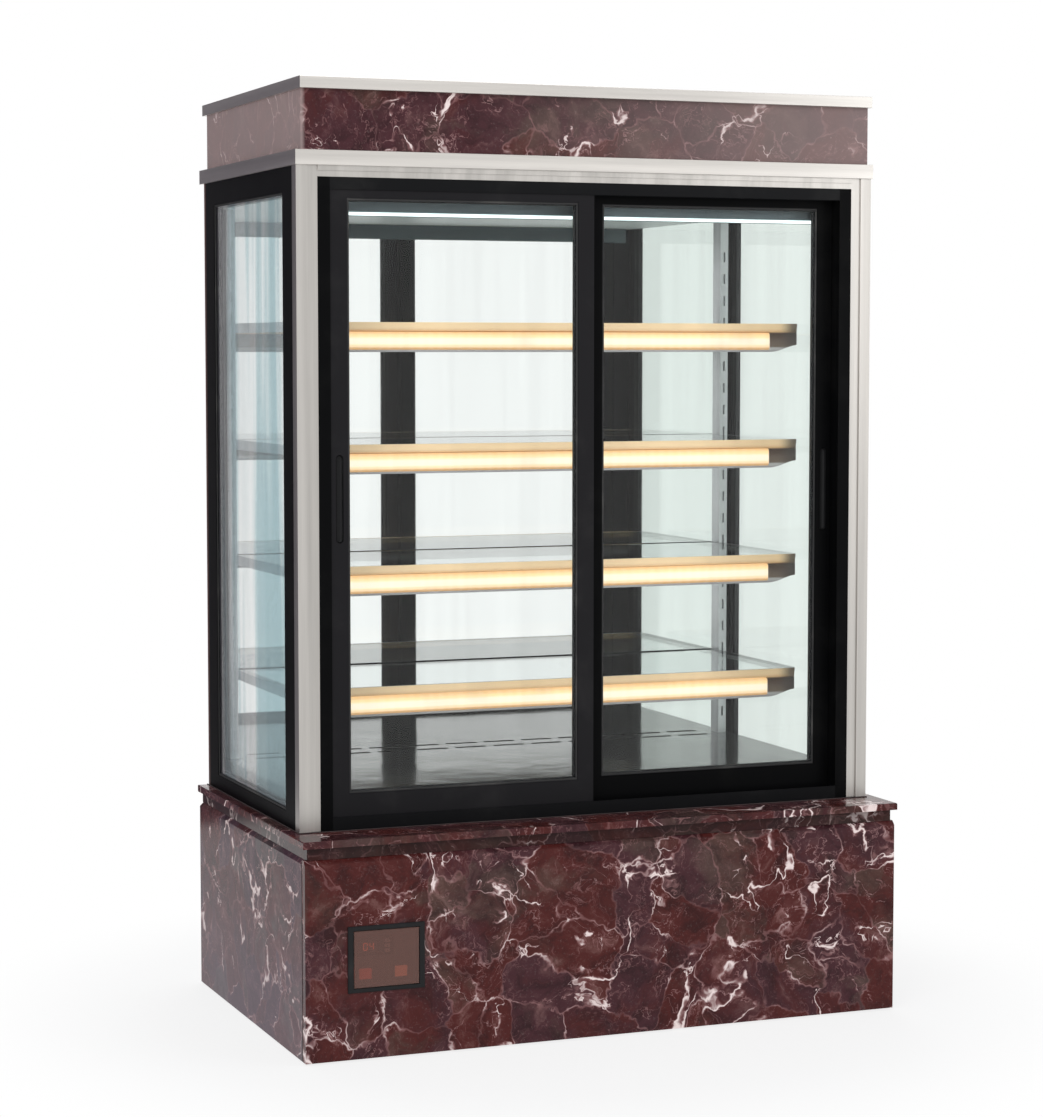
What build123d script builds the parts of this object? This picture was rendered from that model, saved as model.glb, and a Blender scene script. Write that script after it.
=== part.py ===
from build123d import *
from math import radians, sin
import os

# Upright cake display refrigerator: stone plinth with the cooling unit inside, glazed cabinet
# with two sliding front doors and four lit glass shelves, stone canopy between two steel lips.
# Millimetres. X to the right, Y to the back, Z up. The origin is on the floor, under the
# middle of the whole object.

# Overall sizes
base_width = 1200.0
base_depth = 720.0
plinth_height = 405.0
front_ledge = 90.0          # the plinth stands out this far in front of the cabinet
side_ledge = 21.0           # and this far beside it
rear_overhang = 20.0        # the steel lips reach this far behind the cabinet
cabinet_height = 1204.0     # from the plinth's top to the lower steel lip
lower_lip_height = 27.0
canopy_height = 108.0
top_lip_height = 21.0

# Stone
panel_thickness = 18.0
panel_inset = 4.0           # the panels stand back from the edge of the top slab
panel_bevel = 8.0
band_inset = 10.0           # the recessed band stands back further
band_height = 22.0
slab_thickness = 13.0
canopy_stone = 12.0
canopy_front_lip = 1.0      # the canopy stone stands this far in front of the posts
canopy_side_inset = 9.0
floor_gap = 3.0             # under the plinth panels

# Steel lips
lower_lip_front = 5.0
lower_lip_side = 2.0
top_lip_front = 12.0
top_lip_side = 4.0          # beyond the canopy's stone
lip_sheet = 2.0
lip_flange = 30.0

# Sheet metal
sheet = 1.5
angle_sheet = 3.0
angle_width = 30.0

# Feet
foot_radius = 22.0
foot_pad = 6.0
foot_nut_radius = 9.0
foot_stem_radius = 5.0
foot_stem_clearance = 0.3
foot_inset = 38.0
chassis_floor = 12.0        # underside of the chassis

# Cabinet walls
post_face = 41.0
post_outer_face = 22.0      # outer part of the post's face, which stands proud
post_step = 3.0
post_return = 25.0
header_height = 20.0
header_upper = 9.0          # upper part of the header, proud like the posts' outer part
side_frame_thickness = 25.0
side_border_front = 67.0
side_border_rear = 60.0
side_border_top = 45.0
side_border_bottom = 29.0
side_frame_rear = 12.0      # the rear wall laps the frames' back ends by this much
side_pane = 5.0
side_pane_outer_inset = 3.0
side_pane_inner_inset = 3.0
glazing_groove = 12.0
mirror_thickness = 4.0
mirror_depth = 50.0         # mirror's face to the outside of the rear wall
deck_rise = 59.0            # the deck stands this high over the plinth
deck_plate = 2.0
ceiling_drop = 53.0         # the ceiling hangs this far under the lower steel lip

# Doors
jamb_width = 24.0           # jamb that shows beside a closed door
door_overlap = 4.0
door_side_clearance = 1.0
door_thickness = 22.0
door_spacing = 4.0
door_set_back = 8.0         # front door's face behind the posts' face
stile_width = 32.0
door_sill_height = 67.0     # from the plinth's top to the doors' clear glass
door_head_height = 57.0     # from the doors' clear glass to the lower steel lip
door_floor_gap = 13.0       # under the doors
door_head_gap = 17.0        # over the doors
door_pane = 4.0
door_pane_inset = 3.0
door_groove = 10.0
pull_width = 14.0
pull_height = 160.0
pull_depth = 7.0
pull_level = 605.0          # over the plinth
seal_clearance = 0.5
door_travel = 490.0

# Door tracks and rollers
track_base = 4.0
track_lip = 2.5
track_lip_height = 25.0
rail_width = 3.0
rail_height = 6.0
roller_radius = 11.0
roller_tread = 8.0
roller_width = 8.0
roller_groove = 4.0
roller_hub_radius = 5.0
roller_hub_width = 9.6
roller_pin_radius = 2.5
roller_pin_clearance = 0.05
roller_lift = 0.3           # play between tread and rail
roller_inset = 90.0
roller_pocket_length = 26.0
roller_pocket_width = 10.0
roller_pocket_height = 22.0
top_track_height = 42.0
top_track_web = 6.0

# Shelves
shelf_count = 4
lowest_shelf_rise = 178.0   # from the deck to the top of the lowest glass shelf
shelf_pitch = 230.0
shelf_glass = 8.0
shelf_side_gap = 28.0       # between a shelf and the side frame
shelf_set_back = 195.0      # front of the light strip behind the posts' face
shelf_rear_gap = 14.0
nosing_depth = 6.0
nosing_height = 16.0
lamp_gap = 2.0              # dark joint between the nosing and the lamp
lamp_height = 34.0
lamp_depth = 13.0
lamp_lip = 4.0
cap_length = 60.0           # plain end of the light strip, past the lit part
cap_side_gap = 4.0          # the strip is this much shorter than the glass at each end
cap_rise = 14.0             # the end caps' lower edge rises this much
housing_wall = 3.0
arm_sheet = 3.0
arm_flange = 18.0
arm_height = 22.0
upright_width = 18.0
upright_depth = 18.0
slot_pitch = 46.0

# Ceiling lamp
ceiling_lamp_side_gap = 22.0
ceiling_lamp_set_back = 4.0
ceiling_lamp_width = 28.0
ceiling_lamp_height = 24.0
ceiling_lamp_round = 5.0

# Cold tub under the deck
tub_side_gap = 37.0         # between the tub and the side frame
tub_front_gap = 33.0        # behind the deck's front
tub_rear_gap = 20.0         # in front of the mirror
tub_floor = 262.0
tub_wall = 5.0
tub_rim = 12.0
tub_rim_sheet = 2.0
drain_side = 135.0          # drain's distance from the tub's right end
drain_back = 100.0          # and from its rear
drain_radius = 10.0
drain_bore = 8.0
drain_end = 70.0
slot_count = 12
slot_length = 70.0
slot_spacing = 84.0
supply_slot_back = 9.0      # supply slots in front of the tub's rear
supply_slot_width = 16.0
return_slot_front = 5.0     # return slots behind the tub's front
return_slot_width = 12.0

# Evaporator
evaporator_side_gap = 180.0
evaporator_back = 240.0     # its front in front of the tub's rear
evaporator_depth = 130.0
evaporator_height = 90.0
evaporator_fin_pitch = 20.0
evaporator_fin = 1.2
evaporator_tube = 5.0
evaporator_panel_gap = 40.0
evaporator_fan_radius = 44.0
evaporator_fan_hole = 48.0
evaporator_fan_x = 170.0
evaporator_fan_width = 16.0
evaporator_hub_radius = 14.0

# Condensing unit
condenser_side = 198.0      # its middle from the left inner face of the plinth
condenser_half = 130.0
condenser_back = 100.0      # its front from the plinth's rear
condenser_depth = 60.0
condenser_bottom = 30.0
condenser_height = 200.0
condenser_fin_pitch = 10.0
condenser_fin = 1.0
condenser_tube = 4.5
shroud_depth = 18.0
condenser_fan_radius = 82.0
condenser_fan_hole = 87.0
condenser_fan_width = 24.0
condenser_hub_radius = 22.0
fan_blade = 2.0
shaft_radius = 3.0
shaft_clearance = 0.05
motor_radius = 32.0
motor_length = 48.0
motor_gap = 6.0
compressor_side = 420.0     # from the condenser's middle
compressor_gap = 70.0       # its middle in front of the condenser
compressor_radius = 78.0
compressor_height = 190.0
compressor_foot = 3.0
grommet_height = 12.0
grommet_radius = 12.0
compressor_foot_half = 95.0
tray_half = 100.0
tray_depth = 170.0
tray_height = 45.0
tray_wall = 3.0
pipe_radius = 4.0
pipe_bend = 16.0
pipe_passage = 0.5
suction_offset = 60.0       # the suction stub's place in front of the compressor's middle
suction_level = 120.0
drier_radius = 11.0
drier_length = 90.0

# Electrical box and inlet
box_side = 278.0            # from the left inner face of the plinth
box_width = 150.0
box_depth = 90.0
box_gap = 18.0              # behind the front panel
box_height = 120.0
inlet_side = 108.0
inlet_level = 90.0
inlet_width = 50.0
inlet_height = 30.0
inlet_flange = 2.5
inlet_body_width = 28.0
inlet_body_height = 20.0
inlet_body_depth = 24.0
inlet_pin = 4.0

# Control window in the plinth's front panel
window_side = 156.5         # window's middle from the plinth's left end
window_level = 185.5
window_width = 123.0
window_height = 103.0
bezel_width = 146.0
bezel_height = 121.0
bezel_thickness = 6.0
cover_thickness = 3.0
cover_gap = 1.5
cover_pin_radius = 1.0
cover_pin_length = 4.0
cover_pin_clearance = 0.05
bezel_collar = 3.5
control_plate = 1.5
controller_offset = -19.5   # from the window's middle
controller_rise = 19.5
controller_width = 75.0
controller_height = 34.0
controller_face = 6.0
controller_body_depth = 58.0
display_width = 40.0
display_height = 20.0
key_width = 9.0
key_height = 6.0
key_travel = 1.2
key_proud = 1.6
key_depth = 3.0
key_clearance = 0.3
key_pitch = 9.0
switch_offsets = (-34.5, 33.5)
switch_drop = 30.5          # under the window's middle
switch_width = 24.0
switch_height = 20.0
switch_bezel = 3.0
switch_depth = 20.0
rocker_clearance = 0.4
rocker_pin_radius = 1.2
rocker_pin_clearance = 0.05
rocker_tilt = 8.0
rocker_radius = 14.0

# Places worked out from the sizes above
half = base_width / 2
y_front = -(base_depth + rear_overhang) / 2
y_rear = y_front + base_depth
y_lip_rear = y_rear + rear_overhang
cabinet_half = half - side_ledge
y_post = y_front + front_ledge
z_cabinet = plinth_height
z_lower_lip = z_cabinet + cabinet_height
z_canopy = z_lower_lip + lower_lip_height
z_top_lip = z_canopy + canopy_height
z_top = z_top_lip + top_lip_height

panel_outer = half - panel_inset
panel_inner = panel_outer - panel_thickness
y_panel_outer = y_front + panel_inset
y_panel_inner = y_panel_outer + panel_thickness
z_slab = plinth_height - slab_thickness
z_band = z_slab - band_height
band_outer = half - band_inset
y_band_outer = y_front + band_inset
y_rear_inner = y_rear - sheet
z_chassis_top = z_band
z_pan = chassis_floor + angle_sheet
z_pan_top = z_pan + sheet

frame_outer = cabinet_half - lip_sheet
frame_inner = frame_outer - side_frame_thickness
y_jamb = y_post + post_step + sheet
y_frame_front = y_post + post_return
y_frame_rear = y_rear - side_frame_rear
y_sight_front = y_frame_front + side_border_front
y_sight_rear = y_frame_rear - side_border_rear
z_sight_bottom = z_cabinet + side_border_bottom
z_sight_top = z_lower_lip - side_border_top
y_mirror = y_rear - mirror_depth
y_wall = y_mirror + mirror_thickness

y_door_front = y_post + door_set_back
y_door_rear = y_door_front + door_thickness + door_spacing
y_inside = y_door_rear + door_thickness + door_spacing + track_lip - sheet / 3
jamb_inner = cabinet_half - post_face - jamb_width
door_width = jamb_inner - door_side_clearance + door_overlap / 2
door_bottom = z_cabinet + door_floor_gap
door_top = z_lower_lip - door_head_gap
door_sight_bottom = z_cabinet + door_sill_height
door_sight_top = z_lower_lip - door_head_height
top_track_bottom = z_lower_lip - top_track_height
deck_height = z_cabinet + deck_rise
ceiling_height = z_lower_lip - ceiling_drop
z_track = z_cabinet + track_base
z_rail = z_track + rail_height
z_roller = z_rail + roller_tread + roller_lift
canopy_outer = cabinet_half - canopy_side_inset
canopy_inner = canopy_outer - canopy_stone
y_canopy = y_post - canopy_front_lip
y_canopy_inner = y_canopy + canopy_stone
shelf_front = y_post + shelf_set_back
shelf_half = frame_inner - shelf_side_gap
cap_half = shelf_half - cap_side_gap
lamp_half = cap_half - cap_length
y_shelf_glass = shelf_front + nosing_depth
y_shelf_rear = y_mirror - shelf_rear_gap
ceiling_lamp_half = frame_inner - ceiling_lamp_side_gap
ceiling_lamp_front = y_inside + ceiling_lamp_set_back
tub_half = frame_inner - tub_side_gap
tub_inner = tub_half - tub_wall
tub_front = y_inside + tub_front_gap
tub_rear = y_mirror - tub_rear_gap
z_tub_inside = tub_floor + tub_wall
supply_slot_y = tub_rear - supply_slot_back
return_slot_y = tub_front + return_slot_front
drain_x = tub_half - drain_side
drain_y = tub_rear - drain_back
evaporator_half = tub_inner - evaporator_side_gap
evaporator_front = tub_rear - evaporator_back
evaporator_panel_y = evaporator_front + evaporator_depth + evaporator_panel_gap
evaporator_fan_level = (z_tub_inside + plinth_height) / 2
condenser_x = condenser_side - panel_inner
condenser_front = y_rear - condenser_back
compressor_x = condenser_x + compressor_side
compressor_y = condenser_front - compressor_gap
suction_y = compressor_y - suction_offset
box_x = (box_side - panel_inner, box_side - panel_inner + box_width)
box_y = (y_panel_inner + box_gap, y_panel_inner + box_gap + box_depth)
inlet_x = panel_inner - inlet_side
window_x = window_side - half
controller_x = window_x + controller_offset
controller_level = window_level + controller_rise
switch_x = [window_x + offset for offset in switch_offsets]
switch_level = window_level - switch_drop


def block(x, y, z, mode=Mode.ADD):
    """Add or cut a box between two X, two Y and two Z limits."""
    with Locations(((x[0] + x[1]) / 2, (y[0] + y[1]) / 2, (z[0] + z[1]) / 2)):
        Box(x[1] - x[0], y[1] - y[0], z[1] - z[0], mode=mode)


def plan_ring(x, y, wall, z, mode=Mode.ADD):
    """Add a rectangular ring seen in plan: outer X and Y limits, wall width, two levels."""
    with BuildSketch(Plane.XY.offset(z[0])) as outline:
        with Locations(((x[0] + x[1]) / 2, (y[0] + y[1]) / 2)):
            Rectangle(x[1] - x[0], y[1] - y[0])
            Rectangle(x[1] - x[0] - 2 * wall, y[1] - y[0] - 2 * wall, mode=Mode.SUBTRACT)
    extrude(outline.sketch, amount=z[1] - z[0], mode=mode)


def plan_frame(outer_x, outer_y, inner_x, inner_y, z):
    """Add a flat frame seen in plan, with its own outer and inner limits."""
    block(outer_x, outer_y, z)
    block(inner_x, inner_y, z, Mode.SUBTRACT)


def front_plane(y, x=0.0, z=0.0):
    """A plane that faces the front of the cabinet."""
    return Plane(origin=(x, y, z), x_dir=(1, 0, 0), z_dir=(0, -1, 0))


def write(piece, name):
    piece.part.label = name
    export_step(piece.part, f"parts/{name}.step")


def plinth():
    with BuildPart() as front:
        block((-panel_outer, panel_outer), (y_panel_outer, y_panel_inner), (floor_gap, z_band))
        top_edge = front.edges().filter_by(Axis.X).group_by(Axis.Z)[-1].sort_by(Axis.Y)[0]
        chamfer(top_edge, panel_bevel)
        block((window_x - window_width / 2 - bezel_collar, window_x + window_width / 2 + bezel_collar),
              (y_panel_outer, y_panel_inner),
              (window_level - window_height / 2 - bezel_collar,
               window_level + window_height / 2 + bezel_collar), Mode.SUBTRACT)
    write(front, "plinth_front_panel")

    with BuildPart() as sides:
        for side in (-1, 1):
            limits = sorted((side * panel_inner, side * panel_outer))
            block(limits, (y_panel_inner, y_rear), (floor_gap, z_band))
        upper = sides.edges().filter_by(Axis.Y).group_by(Axis.Z)[-1].sort_by(Axis.X)
        chamfer((upper[0], upper[-1]), panel_bevel)
    write(sides, "plinth_side_panels")

    with BuildPart() as top:
        plan_ring((-band_outer, band_outer), (y_band_outer, y_rear), panel_thickness, (z_band, z_slab))
        block((-half, half), (y_front, y_rear), (z_slab, plinth_height))
        block((-tub_half, tub_half), (tub_front, tub_rear), (z_slab, plinth_height), Mode.SUBTRACT)
        nose = top.edges().group_by(Axis.Z)[-1].filter_by(Axis.X).sort_by(Axis.Y)[0]
        ends = top.edges().group_by(Axis.Z)[-1].filter_by(Axis.Y).sort_by(Axis.X)
        chamfer((nose, ends[0], ends[-1]), sheet)
    write(top, "plinth_top")

    louvre_rows = 9
    louvre_pitch = 26.0
    louvre_slot = (150.0, 8.0)
    louvre_x = [condenser_x + offset for offset in (-20.0, 160.0, 440.0, 620.0)]
    with BuildPart() as rear:
        with BuildSketch(front_plane(y_rear)):
            with Locations((0, (floor_gap + z_band) / 2)):
                Rectangle(2 * panel_inner, z_band - floor_gap)
            for x in louvre_x:
                for row in range(louvre_rows):
                    with Locations((x, 70.0 + row * louvre_pitch)):
                        SlotOverall(louvre_slot[0], louvre_slot[1], mode=Mode.SUBTRACT)
            with Locations((inlet_x, inlet_level)):
                Rectangle(inlet_body_width, inlet_body_height, mode=Mode.SUBTRACT)
        extrude(amount=sheet)
    write(rear, "plinth_rear_panel")

    with BuildPart() as inlet:
        block((inlet_x - inlet_width / 2, inlet_x + inlet_width / 2), (y_rear, y_rear + inlet_flange),
              (inlet_level - inlet_height / 2, inlet_level + inlet_height / 2))
        block((inlet_x - inlet_body_width / 2, inlet_x + inlet_body_width / 2),
              (y_rear - inlet_body_depth, y_rear),
              (inlet_level - inlet_body_height / 2, inlet_level + inlet_body_height / 2))
        socket_wall = 2.0
        socket_depth = inlet_body_depth - 6.0
        block((inlet_x - inlet_body_width / 2 + socket_wall, inlet_x + inlet_body_width / 2 - socket_wall),
              (y_rear + inlet_flange - socket_depth, y_rear + inlet_flange),
              (inlet_level - inlet_body_height / 2 + socket_wall,
               inlet_level + inlet_body_height / 2 - socket_wall), Mode.SUBTRACT)
        for dx, dz in ((-7.0, -2.5), (7.0, -2.5), (0.0, 3.0)):
            block((inlet_x + dx - inlet_pin / 4, inlet_x + dx + inlet_pin / 4),
                  (y_rear - inlet_body_depth + 2.0, y_rear - 2.0),
                  (inlet_level + dz - inlet_pin / 2, inlet_level + dz + inlet_pin / 2))
    write(inlet, "power_inlet")


def foot_places():
    x = panel_inner - foot_inset
    return [(sx * x, y) for y in (y_panel_inner + foot_inset, y_rear_inner - foot_inset)
            for sx in (-1, 0, 1)]


def chassis():
    outer = (-panel_inner, panel_inner)
    depth = (y_panel_inner, y_rear_inner)
    with BuildPart() as frame:
        plan_ring(outer, depth, angle_width + 20.0, (chassis_floor, z_pan))
        plan_ring(outer, depth, angle_sheet, (z_pan, z_pan + angle_width))
        block(outer, depth, (z_pan, z_pan_top))
        plan_ring(outer, depth, angle_width, (z_chassis_top - angle_sheet, z_chassis_top))
        plan_ring(outer, depth, angle_sheet, (z_chassis_top - angle_width, z_chassis_top - angle_sheet))
        post = (z_pan, z_chassis_top)
        for x_edge in (outer[0], -angle_width / 2, outer[1] - angle_width):
            for y_edge in (depth[0], depth[1] - angle_width):
                y_web = y_edge if y_edge < 0 else y_edge + angle_width - angle_sheet
                x_web = x_edge if x_edge < 0 else x_edge + angle_width - angle_sheet
                block((x_edge, x_edge + angle_width), (y_web, y_web + angle_sheet), post)
                block((x_web, x_web + angle_sheet), (y_edge, y_edge + angle_width), post)
        with Locations(*[(x, y, chassis_floor) for x, y in foot_places()]):
            Cylinder(foot_stem_radius + foot_stem_clearance, 3 * angle_sheet + sheet, mode=Mode.SUBTRACT)
    write(frame, "chassis")

    with BuildPart() as feet:
        for x, y in foot_places():
            with Locations((x, y, 0)):
                Cylinder(foot_radius, foot_pad, align=(Align.CENTER, Align.CENTER, Align.MIN))
            with Locations((x, y, foot_pad)):
                Cylinder(foot_nut_radius, chassis_floor - foot_pad,
                         align=(Align.CENTER, Align.CENTER, Align.MIN))
                Cylinder(foot_stem_radius, chassis_floor + angle_width / 2,
                         align=(Align.CENTER, Align.CENTER, Align.MIN))
    write(feet, "levelling_feet")


def pipe(points, radius=pipe_radius, bend=pipe_bend):
    """A bent tube along straight runs joined by arcs."""
    with BuildPart() as tube:
        with BuildLine() as path:
            FilletPolyline(*points, radius=bend)
        with BuildSketch(Plane(origin=path.line @ 0, z_dir=path.line % 0)):
            Circle(radius)
        sweep(path=path.line)
    return tube.part


def fan(x, y, z, radius, hub_radius, width, blades, pitch):
    """A rotor on an axis along Y, with a bore for its motor's shaft."""
    span = radius - hub_radius + 2.0
    with BuildPart(front_plane(y, x, z)) as rotor:
        Cylinder(hub_radius, width)
        with PolarLocations(hub_radius - 2.0 + span / 2, blades):
            Box(span, width / sin(radians(pitch)) * 0.8, fan_blade, rotation=(pitch, 0, 0))
        Cylinder(shaft_radius + shaft_clearance, 2 * width, mode=Mode.SUBTRACT)
    return rotor


def cooling_unit():
    condenser_x_limits = (condenser_x - condenser_half, condenser_x + condenser_half)
    condenser_y = (condenser_front, condenser_front + condenser_depth)
    condenser_z = (condenser_bottom, condenser_bottom + condenser_height)
    tube_rows = 7
    with BuildPart() as coil:
        for x in condenser_x_limits:
            inward = angle_sheet if x < condenser_x else -angle_sheet
            block(sorted((x, x + inward)), condenser_y, (z_pan_top, condenser_z[1]))
        fins = int((2 * condenser_half - 4 * angle_sheet) / condenser_fin_pitch)
        for index in range(fins + 1):
            x = condenser_x + (index - fins / 2) * condenser_fin_pitch
            block((x - condenser_fin / 2, x + condenser_fin / 2), condenser_y, condenser_z)
        for row in range(tube_rows):
            z = condenser_bottom + condenser_height * (row + 0.5) / tube_rows
            for y in (condenser_front + condenser_depth * 0.3, condenser_front + condenser_depth * 0.7):
                with Locations(Location((condenser_x, y, z), (0, 90, 0))):
                    Cylinder(condenser_tube, 2 * condenser_half)
    write(coil, "condenser_coil")

    shroud_y = (condenser_front - shroud_depth, condenser_front)
    fan_z = condenser_bottom + condenser_height / 2
    with BuildPart() as shroud:
        block(condenser_x_limits, shroud_y, (z_pan_top, condenser_z[1]))
        block((condenser_x_limits[0] + 2 * sheet, condenser_x_limits[1] - 2 * sheet),
              (shroud_y[0] + sheet, shroud_y[1]),
              (condenser_bottom + 2 * sheet, condenser_z[1] - 2 * sheet), Mode.SUBTRACT)
        with BuildSketch(front_plane(shroud_y[0] + sheet, condenser_x, fan_z)):
            Circle(condenser_fan_hole)
        extrude(amount=sheet, mode=Mode.SUBTRACT)
        with BuildSketch(front_plane(shroud_y[0] + sheet, condenser_x, fan_z)):
            Circle(condenser_fan_hole + sheet)
            Circle(condenser_fan_hole, mode=Mode.SUBTRACT)
        extrude(amount=sheet + condenser_fan_width / 2)
    write(shroud, "condenser_shroud")

    fan_y = shroud_y[0] - condenser_fan_width / 2 + sheet
    rotor = fan(condenser_x, fan_y, fan_z, condenser_fan_radius, condenser_hub_radius,
                condenser_fan_width, 5, 32.0)
    write(rotor, "condenser_fan")

    motor_back = fan_y - condenser_fan_width / 2 - motor_gap
    with BuildPart() as motor:
        with BuildSketch(front_plane(motor_back, condenser_x, fan_z)):
            Circle(motor_radius)
        extrude(amount=motor_length)
        with BuildSketch(front_plane(fan_y + condenser_fan_width / 2, condenser_x, fan_z)):
            Circle(shaft_radius)
        extrude(amount=condenser_fan_width + motor_gap)
        bracket_y = (motor_back - motor_length * 0.7, motor_back - motor_length * 0.3)
        block((condenser_x - 12.0, condenser_x + 12.0), bracket_y, (z_pan_top, fan_z - motor_radius * 0.7))
        block((condenser_x - 40.0, condenser_x + 40.0), bracket_y, (z_pan_top, z_pan_top + angle_sheet))
    write(motor, "condenser_fan_motor")

    shell_bottom = z_pan_top + grommet_height + compressor_foot
    with BuildPart() as compressor:
        with Locations((compressor_x, compressor_y, shell_bottom)):
            Cylinder(compressor_radius, compressor_height,
                     align=(Align.CENTER, Align.CENTER, Align.MIN))
        fillet(compressor.edges().filter_by(GeomType.CIRCLE), compressor_radius * 0.35)
        corner = compressor_foot_half
        block((compressor_x - corner, compressor_x + corner), (compressor_y - corner, compressor_y + corner),
              (shell_bottom - compressor_foot, shell_bottom))
        fillet(compressor.edges().filter_by(Axis.Z).group_by(SortBy.LENGTH)[0], grommet_radius)
        block((compressor_x - compressor_radius * 0.4, compressor_x + compressor_radius * 0.4),
              (compressor_y - compressor_radius - 22.0, compressor_y - compressor_radius * 0.8),
              (shell_bottom + 60.0, shell_bottom + 115.0))
        stub_x = compressor_x - compressor_radius * 0.9
        with Locations(Location((stub_x, suction_y, suction_level), (0, 90, 0))):
            Cylinder(1.5 * pipe_radius, compressor_radius * 0.7,
                     align=(Align.CENTER, Align.CENTER, Align.MIN))
        spread = corner - grommet_radius - 2.0
        for dx in (-spread, spread):
            for dy in (-spread, spread):
                with Locations((compressor_x + dx, compressor_y + dy, z_pan_top)):
                    Cylinder(grommet_radius, grommet_height,
                             align=(Align.CENTER, Align.CENTER, Align.MIN))
    write(compressor, "compressor")

    tray_x = (drain_x - tray_half, drain_x + tray_half)
    tray_y = (drain_y - tray_depth / 2, drain_y + tray_depth / 2)
    with BuildPart() as tray:
        block(tray_x, tray_y, (z_pan_top, z_pan_top + tray_height))
        block((tray_x[0] + tray_wall, tray_x[1] - tray_wall), (tray_y[0] + tray_wall, tray_y[1] - tray_wall),
              (z_pan_top + tray_wall, z_pan_top + tray_height), Mode.SUBTRACT)
    write(tray, "drain_tray")

    # The discharge line, the liquid line with its drier, and the suction line
    shell_top = shell_bottom + compressor_height
    coil_side = condenser_x_limits[1]
    evaporator_side = -evaporator_half - angle_sheet
    rise_x = evaporator_side - 20.0
    line_level = tub_floor - 16.0
    liquid_level = z_tub_inside + 63.0
    suction_entry = z_tub_inside + 83.0
    line_y = condenser_front + condenser_depth * 0.5
    drier_z = condenser_bottom + 30.0
    discharge = pipe([(compressor_x - 30.0, compressor_y, shell_top), (compressor_x - 30.0, compressor_y, line_level),
                      (coil_side + 60.0, compressor_y, line_level), (coil_side + 60.0, line_y, line_level),
                      (coil_side + 60.0, line_y, condenser_z[1] - 20.0),
                      (coil_side, line_y, condenser_z[1] - 20.0)])
    liquid_y = evaporator_front + 20.0
    liquid = pipe([(coil_side, line_y, drier_z), (coil_side + 50.0, line_y, drier_z),
                   (coil_side + 50.0, liquid_y, drier_z), (rise_x, liquid_y, drier_z),
                   (rise_x, liquid_y, liquid_level), (evaporator_side, liquid_y, liquid_level)])
    suction = pipe([(evaporator_side, suction_y, suction_entry), (rise_x, suction_y, suction_entry),
                    (rise_x, suction_y, line_level), (compressor_x - 120.0, suction_y, line_level),
                    (compressor_x - 120.0, suction_y, suction_level), (stub_x, suction_y, suction_level)])
    with BuildPart() as pipes:
        add(discharge)
        add(liquid)
        add(suction)
        with Locations(Location((coil_side + 50.0, (line_y + liquid_y) / 2, drier_z), (90, 0, 0))):
            Cylinder(drier_radius, drier_length)
    write(pipes, "refrigerant_pipes")

    with BuildPart() as tub:
        block((-tub_half, tub_half), (tub_front, tub_rear), (tub_floor, plinth_height + tub_rim_sheet))
        block((-tub_inner, tub_inner), (tub_front + tub_wall, tub_rear - tub_wall),
              (z_tub_inside, plinth_height + tub_rim_sheet), Mode.SUBTRACT)
        plan_ring((-tub_half - tub_rim, tub_half + tub_rim), (tub_front - tub_rim, tub_rear + tub_rim),
                  tub_rim + tub_wall, (plinth_height, plinth_height + tub_rim_sheet))
        with Locations((drain_x, drain_y, drain_end)):
            Cylinder(drain_radius, tub_floor - drain_end, align=(Align.CENTER, Align.CENTER, Align.MIN))
            Cylinder(drain_bore, z_tub_inside - drain_end, align=(Align.CENTER, Align.CENTER, Align.MIN),
                     mode=Mode.SUBTRACT)
        with Locations((rise_x, liquid_y, tub_floor), (rise_x, suction_y, tub_floor)):
            Cylinder(pipe_radius + pipe_passage, 3 * tub_wall, mode=Mode.SUBTRACT)
    write(tub, "cold_tub")

    evaporator_y = (evaporator_front, evaporator_front + evaporator_depth)
    evaporator_z = (z_tub_inside + 6.0, z_tub_inside + 6.0 + evaporator_height)
    with BuildPart() as evaporator:
        for side in (-1, 1):
            block(sorted((side * evaporator_half, side * (evaporator_half + angle_sheet))), evaporator_y,
                  (z_tub_inside, evaporator_z[1]))
        fins = int((2 * evaporator_half - evaporator_fin_pitch) / evaporator_fin_pitch)
        for index in range(fins + 1):
            x = (index - fins / 2) * evaporator_fin_pitch
            block((x - evaporator_fin / 2, x + evaporator_fin / 2), evaporator_y, evaporator_z)
        for row in range(4):
            for column in range(3):
                y = evaporator_front + evaporator_depth * (column + 0.5) / 3
                z = evaporator_z[0] + evaporator_height * (row + 0.5) / 4
                with Locations(Location((0, y, z), (0, 90, 0))):
                    Cylinder(evaporator_tube, 2 * evaporator_half)
    write(evaporator, "evaporator_coil")

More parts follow.
